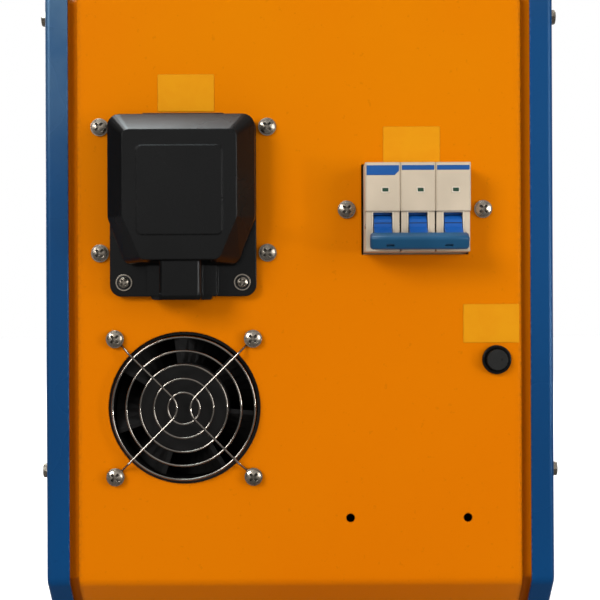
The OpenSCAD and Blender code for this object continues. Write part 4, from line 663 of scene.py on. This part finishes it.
for number in POLES:
    pole_x, pole_z = rear_place(f"breaker_pole_{number}")
    band_h, band_cut = TALL_BAND if number == 1 else LOW_BAND
    left, right = pole_x - BAND_HALF, pole_x + BAND_HALF
    top, bottom = pole_z + BAND_TOP, pole_z + BAND_TOP - band_h
    band_shape = bmesh.new()
    slab(band_shape, [(left, top), (left, bottom), (right - band_cut, bottom),
                      (right, bottom + band_cut), (right, top)],
         rear, NOSE_OUT - SUNK, NOSE_OUT + BAND)
    piece(f"pole_{number}_band", band_shape, BAND_BLUE)

    flag = (pole_x + FLAG_ASIDE, pole_z + FLAG_UP)
    rim_shape = bmesh.new()
    collar(rim_shape, rounded_box(*FLAG_SIZE, *flag), rounded_box(*FLAG_RIM_SIZE, *flag), rear,
           NOSE_OUT - SUNK, NOSE_OUT + RIM)
    piece(f"pole_{number}_flag_rim", rim_shape, RIM_PALE, soften=0.08)
    glass_shape = bmesh.new()
    slab(glass_shape, rounded_box(*FLAG_SIZE, *flag), rear, NOSE_OUT - SUNK, NOSE_OUT + SUNK)
    piece(f"pole_{number}_flag", glass_shape, WINDOW_GREEN)

    lever_window = (pole_x, pole_z - LEVER_DROP)
    window_out = NOSE_OUT - NOSE_STEP
    frame_shape = bmesh.new()
    collar(frame_shape, rounded_box(*WINDOW_SIZE, *lever_window),
           rounded_box(*WINDOW_RIM_SIZE, *lever_window), rear, window_out - SUNK,
           window_out + WINDOW_RIM)
    piece(f"pole_{number}_window_rim", frame_shape, RIM_PALE, soften=0.08)

    # Painted shadow: a thin dark strip on each lever's drum along its seam
    seam_from, seam_to = SEAM_TURNS
    seam_shape = bmesh.new()
    slab(seam_shape, [(-SEAM_HALF, seam_from), (SEAM_HALF, seam_from), (SEAM_HALF, seam_to),
                      (-SEAM_HALF, seam_to)], drum_of(pole_x, pole_z), *SEAM_DEPTHS)
    piece(f"lever_{number}_seam", seam_shape, SEAM_SHADOW_PAINT, "breaker_handle")

# Blue shields that close the gap above each lever's drum
shield_shape = bmesh.new()
for number in POLES:
    pole_x, pole_z = rear_place(f"breaker_pole_{number}")
    slab(shield_shape, rounded_box(*SHIELD_SIZE, pole_x, pole_z - LEVER_DROP + SHIELD_UP), rear,
         *SHIELD_OUT)
piece("lever_shields", shield_shape, FINISHES["blue_moulding"])

# Tie bar with rounded ends and two notches, square to the levers
TIE_L = 49.4
TIE_NEAR = 11.7
TIE_FAR = 18.3
TIE_UNDER = -4.4
TIE_OVER = 3.1
TIE_ROUND = 1.7
TIE_NOTCH = (-2.2, -0.9)
NOTCH_ENDS = (16.5, 12.7)
NOTCH_DEEP = 1.3
TIE_ENDS = ((0.0, 1.4), (0.4, 0.6), (1.4, 0.0))
lever_mid = rear_place("breaker_pole_2")


def on_lever(x, along, across):
    """Point in the levers' frame at rest: along them from the axle, and across to the top."""
    rise = across * math.cos(LEVER_UP) - along * math.sin(LEVER_UP)
    reach = along * math.cos(LEVER_UP) + across * math.sin(LEVER_UP)
    return rear(lever_mid[0] + x, lever_mid[1] - LEVER_DROP + rise, PIVOT_OUT + reach)


def tie_section(inset):
    """Outline of the tie bar, along by across, with points at the edges of its notches."""
    points = rounded_box(TIE_FAR - TIE_NEAR - 2 * inset, TIE_OVER - TIE_UNDER - 2 * inset,
                         TIE_ROUND - inset, (TIE_FAR + TIE_NEAR) / 2, (TIE_OVER + TIE_UNDER) / 2)
    return points + [(TIE_FAR - inset, edge) for edge in TIE_NOTCH]


tie_shape = bmesh.new()
tie_steps = [(TIE_L / 2 - back, inset) for back, inset in TIE_ENDS]
tie_steps += [(x, 0.0) for x in NOTCH_ENDS]
notch_steps = (len(tie_steps) - 2, len(tie_steps))
tie_steps += [(-x, inset) for x, inset in reversed(tie_steps)]
rings = [[tie_shape.verts.new(on_lever(x, along, across)) for along, across in tie_section(inset)]
         for x, inset in tie_steps]
tie_shape.faces.new(rings[0])
tie_shape.faces.new(rings[-1])
notches = []
for index, (first, second) in enumerate(zip(rings, rings[1:])):
    for i in range(len(first)):
        j = (i + 1) % len(first)
        face = tie_shape.faces.new((first[i], first[j], second[j], second[i]))
        if index in notch_steps and i == len(first) - 2:
            notches.append(face)
inward = on_lever(0, -NOTCH_DEEP, 0) - on_lever(0, 0, 0)
for face in bmesh.ops.extrude_discrete_faces(tie_shape, faces=notches)["faces"]:
    bmesh.ops.translate(tie_shape, verts=face.verts, vec=inward)
tie_bar = piece("tie_bar", tie_shape, TIE_PLASTIC, "breaker_handle", round_shape=True)
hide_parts("breaker_tie_bar")

# Lip of the cable entry under the hood, left open for the cable. Its outline follows the spout
# and the ridge above it, and LIP_TURN rounds its edge by drop and size
hood_x = rear_place("inlet_back_plate")[0]
hood_low = (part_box("inlet_back_plate")[0].z - BEND_Z) / MM
CABLE_R = 8.2
CABLE_RUN = 0.2
ENTRY_OUT = 14.0
SPOUT_EDGE = (15.5, -0.4)
RIDGE_EDGE = (10.5, 10.4)
BACK_EDGE = -11.4
LIP_CUT = 1.5
LIP_START = -1.6
LIP_TURN = ((0.6, 1.0), (1.3, 0.975), (1.7, 0.93), (1.8, 0.88))
corners = [(SPOUT_EDGE[0], BACK_EDGE), SPOUT_EDGE, (RIDGE_EDGE[0], SPOUT_EDGE[1]), RIDGE_EDGE]
corners += [(-u, v) for u, v in reversed(corners)]
lip_outer = []
for (u, v), (next_u, next_v) in zip(corners, corners[1:] + corners[:1]):
    cuts = max(1, round(math.hypot(next_u - u, next_v - v) / LIP_CUT))
    lip_outer += [(u + (next_u - u) * i / cuts, v + (next_v - v) * i / cuts) for i in range(cuts)]
lip_inner = [(u * (CABLE_R + CABLE_RUN) / math.hypot(u, v),
              v * (CABLE_R + CABLE_RUN) / math.hypot(u, v)) for u, v in lip_outer]


def under_hood(u, v, drop):
    """Point below the hood: across, out and down."""
    return rear(hood_x + u, hood_low - drop, ENTRY_OUT + v)


lip_rings = [(lip_outer, LIP_START)]
lip_rings += [([(u * size, v * size) for u, v in lip_outer], drop) for drop, size in LIP_TURN]
lip_rings += [(lip_inner, LIP_TURN[-1][0]), (lip_inner, LIP_START)]
lip_shape = bmesh.new()
skin_over(lip_shape, lip_rings, under_hood)
piece("cable_entry_lip", lip_shape, FINISHES["black_moulding"],
      round_shape=True)

# Rubber faces of the bonded washers under the two screws of the inlet hood
WASHER_R = 4.3
SEAL_RADII = (2.85, 3.65)
SEAL_OUT = (5.4, 5.75)
screws_low, screws_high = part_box("inlet_cover_screws")
seal_z = ((screws_low.z + screws_high.z) / 2 - BEND_Z) / MM
seal_shape = bmesh.new()
for side in (screws_low.x / MM + WASHER_R, screws_high.x / MM - WASHER_R):
    inner, outer = (disc(radius, side, seal_z) for radius in SEAL_RADII)
    collar(seal_shape, inner, outer, rear, *SEAL_OUT)
piece("hood_screw_seals", seal_shape, SEAL_RUBBER, soften=0.1)

# Strokes of plain numerals on a 2 by 4 grid
NUMERALS = {
    "0": [[(0, 1), (0, 3), (0.5, 4), (1.5, 4), (2, 3), (2, 1), (1.5, 0), (0.5, 0), (0, 1)]],
    "1": [[(0.4, 3.2), (1.3, 4), (1.3, 0)]],
    "2": [[(0, 3.2), (0.5, 4), (1.5, 4), (2, 3.1), (1.7, 2.2), (0, 0), (2, 0)]],
    "3": [[(0, 3.4), (0.6, 4), (1.4, 4), (2, 3.3), (1.9, 2.5), (1.2, 2.1), (1.9, 1.6), (2, 0.8),
           (1.4, 0), (0.6, 0), (0, 0.6)]],
    "4": [[(1.5, 0), (1.5, 4), (0, 1.2), (2.1, 1.2)]],
    "5": [[(1.9, 4), (0.3, 4), (0.1, 2.2), (1.3, 2.5), (2, 1.7), (2, 0.8), (1.4, 0), (0.5, 0),
           (0, 0.5)]],
    "6": [[(1.8, 3.6), (1.2, 4), (0.6, 3.9), (0.1, 2.8), (0, 1.2), (0.4, 0.2), (1.1, 0),
           (1.8, 0.3), (2, 1.2), (1.7, 2.1), (1, 2.3), (0.3, 2.0), (0, 1.4)]],
    "7": [[(0, 4), (2, 4), (0.8, 0)]],
    "8": [[(1, 2.1), (0.2, 2.7), (0.1, 3.4), (0.6, 4), (1.4, 4), (1.9, 3.4), (1.8, 2.7), (1, 2.1),
           (0.1, 1.5), (0, 0.7), (0.6, 0), (1.4, 0), (2, 0.7), (1.9, 1.5), (1, 2.1)]],
    "9": [[(0.2, 0.4), (0.8, 0), (1.4, 0.1), (1.9, 1.2), (2, 2.8), (1.6, 3.8), (0.9, 4),
           (0.2, 3.7), (0, 2.8), (0.3, 1.9), (1, 1.7), (1.7, 2.0), (2, 2.6)]],
}


def numeral(shape, text, x, z, height, width, place, low, high):
    """Adds a number in strokes, centred on a point."""
    unit = height / 4
    length = len(text) * 2 * unit + (len(text) - 1) * unit
    for index, sign in enumerate(text):
        left = x - length / 2 + index * 3 * unit
        for line in NUMERALS[sign]:
            spots = [(left + u * unit, z - height / 2 + v * unit) for u, v in line]
            for start, end in zip(spots, spots[1:]):
                slab(shape, capsule(start, end, width), place, low, high)


# Dial scale round the knob, five strokes to a number
FASCIA_OUT = 3.0
PRINTED = (FASCIA_OUT - SUNK, FASCIA_OUT + PRINT)
DIAL_STROKES = 51
DIAL_STEP = math.radians(6)
STROKES_A_NUMBER = 5
STROKE_FROM = 16.6
LONG_TO, LONG_W = 18.6, 0.45
SHORT_TO, SHORT_W = 17.7, 0.3
NUMBER_R = 21.0
NUMBER_H = 2.8
NUMBER_W = 0.42
knob_x, knob_z = front_place("power_knob")


def on_dial(radius, turn):
    """Point round the knob, clockwise from the top."""
    return knob_x + radius * math.sin(turn), knob_z + radius * math.cos(turn)


dial_shape = bmesh.new()
for step in range(DIAL_STROKES):
    turn = DIAL_STEP * step
    numbered = step % STROKES_A_NUMBER == 0
    stroke_to, stroke_w = (LONG_TO, LONG_W) if numbered else (SHORT_TO, SHORT_W)
    slab(dial_shape, capsule(on_dial(STROKE_FROM, turn), on_dial(stroke_to, turn), stroke_w),
         front, *PRINTED)
    if numbered:
        numeral(dial_shape, str(step // STROKES_A_NUMBER), *on_dial(NUMBER_R, turn), NUMBER_H,
                NUMBER_W, front, *PRINTED)
piece("dial_scale", dial_shape, PRINT_PALE)

# Line that frames the fascia
LINE_INNER = (7.6, 3.2)
LINE_OUTER = (6.6, 3.7)
fascia_x, fascia_z = front_place("control_fascia")
fascia_low, fascia_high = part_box("control_fascia")
fascia_w = (fascia_high.x - fascia_low.x) / MM
fascia_h = (fascia_high.z - fascia_low.z) / MM
line_inner, line_outer = (rounded_box(fascia_w - less, fascia_h - less, radius, fascia_x, fascia_z)
                          for less, radius in (LINE_INNER, LINE_OUTER))
line_shape = bmesh.new()
collar(line_shape, line_inner, line_outer, front, *PRINTED)
piece("fascia_frame_line", line_shape, PRINT_PALE)

# Unlit digits of seven strokes and a point on both display lenses
LENS_W = 66.0
DIGITS = 4
DIGIT_W = 9.0
DIGIT_H = 17.0
DIGIT_STEP = 14.0
LEAN = 0.1
SEGMENT_W = 1.5
SEGMENT_GAP = 1.4
SEGMENT_OUT = (FASCIA_OUT + 0.95, FASCIA_OUT + 1.05)
POINT_R = 0.8
POINT_ASIDE = 2.2
lens_low, lens_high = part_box("display_lenses")
lens_z = ((lens_low.z + lens_high.z) / 2 - BEND_Z) / MM


def leaning(x, z, out):
    """Point on the lens face, with the slant of display digits."""
    return front(x + LEAN * (z - lens_z), z, out)


def segment(shape, start, end):
    """Adds one stroke of a digit."""
    slab(shape, capsule(start, end, SEGMENT_W, 2), leaning, *SEGMENT_OUT)


digit_shape = bmesh.new()
for lens_middle in (-lens_high.x / MM + LENS_W / 2, -lens_low.x / MM - LENS_W / 2):
    for index in range(DIGITS):
        x = lens_middle + (index - (DIGITS - 1) / 2) * DIGIT_STEP
        for row in (-1, 0, 1):
            z = lens_z + row * DIGIT_H / 2
            segment(digit_shape, (x - DIGIT_W / 2 + SEGMENT_GAP, z),
                    (x + DIGIT_W / 2 - SEGMENT_GAP, z))
        for side in (-1, 1):
            for row in (-1, 1):
                segment(digit_shape, (x + side * DIGIT_W / 2, lens_z + row * SEGMENT_GAP),
                        (x + side * DIGIT_W / 2, lens_z + row * (DIGIT_H / 2 - SEGMENT_GAP)))
        slab(digit_shape, disc(POINT_R, x + DIGIT_W / 2 + POINT_ASIDE, lens_z - DIGIT_H / 2, 12),
             leaning, *SEGMENT_OUT)
piece("display_segments", digit_shape, SEGMENT_DULL)

# Marks on the buttons: a bar for start and a ring for stop
BAR_HALF = 2.6
BAR_W = 1.2
RING_RADII = (2.3, 3.4)
for button in ("start_button", "stop_button"):
    button_x, button_z = front_place(button)
    cap_out = (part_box(button)[1].y - FRONT_Y) / MM
    marked = (cap_out - SUNK, cap_out + BUTTON_MARK)
    mark_shape = bmesh.new()
    if button == "start_button":
        slab(mark_shape, capsule((button_x, button_z - BAR_HALF), (button_x, button_z + BAR_HALF),
                                 BAR_W), front, *marked)
    else:
        inner, outer = (disc(radius, button_x, button_z) for radius in RING_RADII)
        collar(mark_shape, inner, outer, front, *marked)
    piece(f"{button}_mark", mark_shape, PRINT_PALE, button)

# Pointer set in the knob's face
POINTER_SPAN = (4.0, 12.4)
POINTER_W = 0.9
POINTER_UNDER = (1.35, 0.5)
knob_out = (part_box("power_knob")[1].y - FRONT_Y) / MM
pointer_from, pointer_to = ((knob_x, knob_z + up) for up in POINTER_SPAN)
pointer_shape = bmesh.new()
slab(pointer_shape, capsule(pointer_from, pointer_to, POINTER_W), front,
     *(knob_out - under for under in POINTER_UNDER))
piece("knob_pointer", pointer_shape, PRINT_PALE, "power_knob")

# Dark insert that holds the pins of the foot switch's socket
INSERT_R = 9.3
INSERT_T = 2.0
insert_x, insert_z = front_place("pedal_socket")
insert_shape = bmesh.new()
slab(insert_shape, disc(INSERT_R, insert_x, insert_z), front, FASCIA_OUT - SUNK,
     FASCIA_OUT + INSERT_T)
piece("socket_insert", insert_shape, FINISHES["module_black"], soften=0.2,
      round_shape=True)

# Colour rings round the water fittings
WATER_ASIDE = 75.0
WATER_RADII = (12.2, 14.6)
water_low, water_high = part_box("water_fittings")
water_z = ((water_low.z + water_high.z) / 2 - BEND_Z) / MM
for ring_name, side, finish in (("cold_water_ring", -1, FLOW_BLUE),
                                ("warm_water_ring", 1, FLOW_RED)):
    inner, outer = (disc(radius, side * WATER_ASIDE, water_z) for radius in WATER_RADII)
    ring_shape = bmesh.new()
    collar(ring_shape, inner, outer, front, 0.0, WATER_RING)
    piece(ring_name, ring_shape, finish)

# Camera on the rear panel: 0.7 m away, a little over the middle of what it shows
VIEW_FROM = (0.0002, REAR_Y - 0.700, 0.1987)
VIEW_ROLL = 0.24
camera_data = bpy.data.cameras.new("camera")
camera_data.lens = 80.9
camera_data.sensor_width = 36.0
camera = bpy.data.objects.new("camera", camera_data)
bpy.context.scene.collection.objects.link(camera)
camera.location = VIEW_FROM
camera.rotation_euler = (math.radians(90), math.radians(VIEW_ROLL), 0)
bpy.context.scene.camera = camera

# Lamps: where they stand, what they face, their size and power. A soft key from the upper left,
# fill from the right, a lamp over the top edge, two narrow ones that the right flange mirrors,
# and two for the front of the machine
REAR_AIM = (0, -0.2, 0.2)
FRONT_AIM = (0, 0.2, 0.2)
LAMPS = {"key_lamp": ((-1.65, -2.5, 1.35), REAR_AIM, (1.05, 1.05), 43.0),
         "fill_lamp": ((1.4, -1.5, 0.5), REAR_AIM, (0.8, 0.8), 9.0),
         "over_lamp": ((-0.55, 0.0, 1.5), (-0.4, -0.2, 0.2), (0.8, 0.5), 6.0),
         "edge_window": ((1.2, -1.0, 0.72), (0.13, -0.25, 0.3), (0.10, 0.85), 0.7),
         "edge_spark": ((1.2, -1.0, 0.12), (0.13, -0.25, 0.17), (0.07, 0.10), 2.4),
         "front_lamp": ((0.9, 1.7, 1.3), FRONT_AIM, (1.2, 0.9), 22.0),
         "front_fill_lamp": ((-1.3, 1.5, 0.7), FRONT_AIM, (0.8, 0.8), 9.0)}
for lamp_name, (stand, aim, size, power) in LAMPS.items():
    lamp_data = bpy.data.lights.new(lamp_name, "AREA")
    lamp_data.shape = "RECTANGLE"
    lamp_data.size, lamp_data.size_y = size
    lamp_data.energy = power
    lamp = bpy.data.objects.new(lamp_name, lamp_data)
    bpy.context.scene.collection.objects.link(lamp)
    lamp.location = stand
    lamp.rotation_euler = (Vector(aim) - Vector(stand)).to_track_quat("-Z", "Y").to_euler()

# The room: white to the camera and through clear lenses, darker in reflections, with a soft
# panel of light overhead on the left that only glossy faces show
ROOM_SOFT = 0.50
ROOM_WALLS = 0.05
ROOM_FACING = 0.5
ROOM_CEILING = 0.4
ROOM_PANEL = 6.8
PANEL_TINT = (0.80, 0.96, 1.0, 1.0)
CEILING_RISE = (0.25, 0.95)
FACING_TURN = (0.6, 0.98)
PANEL_RISE = (0.84, 0.92)
PANEL_ASIDE = (0.06, -0.17)
world = bpy.data.worlds.new("room")
bpy.context.scene.world = world
world.use_nodes = True
room = Sheet(world.node_tree)
world.node_tree.nodes.clear()
path = room.add("LightPath")
compass = room.add("TexCoord")
heading = room.add("SeparateXYZ", {"Vector": compass.outputs["Generated"]})
ceiling = room.ramp(heading.outputs["Z"], *CEILING_RISE)
facing = room.ramp(room.math("ABSOLUTE", heading.outputs["Y"]), *FACING_TURN)
overhead = room.math("MULTIPLY", room.ramp(heading.outputs["Z"], *PANEL_RISE),
                     room.ramp(heading.outputs["X"], *PANEL_ASIDE))
in_mirror = room.math("MULTIPLY_ADD", ceiling, ROOM_CEILING, ROOM_WALLS)
in_mirror = room.math("MULTIPLY_ADD", facing, ROOM_FACING, in_mirror)
in_mirror = room.math("MULTIPLY_ADD", overhead, ROOM_PANEL, in_mirror)
in_mirror = room.math("MULTIPLY", path.outputs["Is Glossy Ray"], in_mirror)
white = room.math("MAXIMUM", path.outputs["Is Camera Ray"], path.outputs["Is Transmission Ray"])
soft_part = room.math("SUBTRACT", 1.0, room.math("MAXIMUM", white, path.outputs["Is Glossy Ray"]))
strength = room.math("ADD", room.math("MAXIMUM", white, in_mirror),
                     room.math("MULTIPLY", soft_part, ROOM_SOFT))
tinted = room.math("MULTIPLY", overhead, path.outputs["Is Glossy Ray"])
background = room.add("Background", {"Color": room.mix(tinted, WHITE, PANEL_TINT),
                                     "Strength": strength})
room_out = room.add("OutputWorld")
room.put(room_out.inputs["Surface"], background.outputs[0])

# The floor: pale tones to the camera, and darker ones in what it throws back
FLOOR_HALF = 6
FLOOR_PALE = (0.82, 0.86)
FLOOR_DIFFUSE = 0.36
FLOOR_MIRRORED = 0.10
GLOW_SEEN = 0.6
GLOW_MIRRORED = 0.03


def grey(value):
    """A colour of equal parts, in linear light."""
    return (value, value, value, 1.0)


def floor_material():
    """Pale floor that keeps the machine's shadow and looks white to the camera."""
    made, sheet, shader = material("floor_white")
    skin = use(sheet, SKIN, Grain=40.0, Drift=2.0, Specks=30.0)
    seen = sheet.add("LightPath")
    pale = sheet.mix(skin["Drift"], *map(grey, FLOOR_PALE))
    unseen = sheet.mix(seen.outputs["Is Glossy Ray"], grey(FLOOR_DIFFUSE), grey(FLOOR_MIRRORED))
    sheet.put(shader.inputs["Base Color"], sheet.mix(seen.outputs["Is Camera Ray"], unseen, pale))
    shader.inputs["Roughness"].default_value = 0.8
    shader.inputs["Specular IOR Level"].default_value = 0.2
    shader.inputs["Emission Color"].default_value = WHITE
    white = sheet.math("MAXIMUM", seen.outputs["Is Camera Ray"],
                       seen.outputs["Is Transmission Ray"])
    sheet.put(shader.inputs["Emission Strength"],
              sheet.math("MAXIMUM", sheet.math("MULTIPLY", white, GLOW_SEEN),
                         sheet.math("MULTIPLY", seen.outputs["Is Glossy Ray"], GLOW_MIRRORED)))
    return made


floor_mesh = bpy.data.meshes.new("floor")
floor_mesh.from_pydata([(x * FLOOR_HALF, y * FLOOR_HALF, 0)
                        for x, y in ((-1, -1), (1, -1), (1, 1), (-1, 1))], [], [(0, 1, 2, 3)])
floor = bpy.data.objects.new("floor", floor_mesh)
bpy.context.scene.collection.objects.link(floor)
floor_mesh.materials.append(floor_material())

bpy.context.scene.view_settings.view_transform = "Standard"
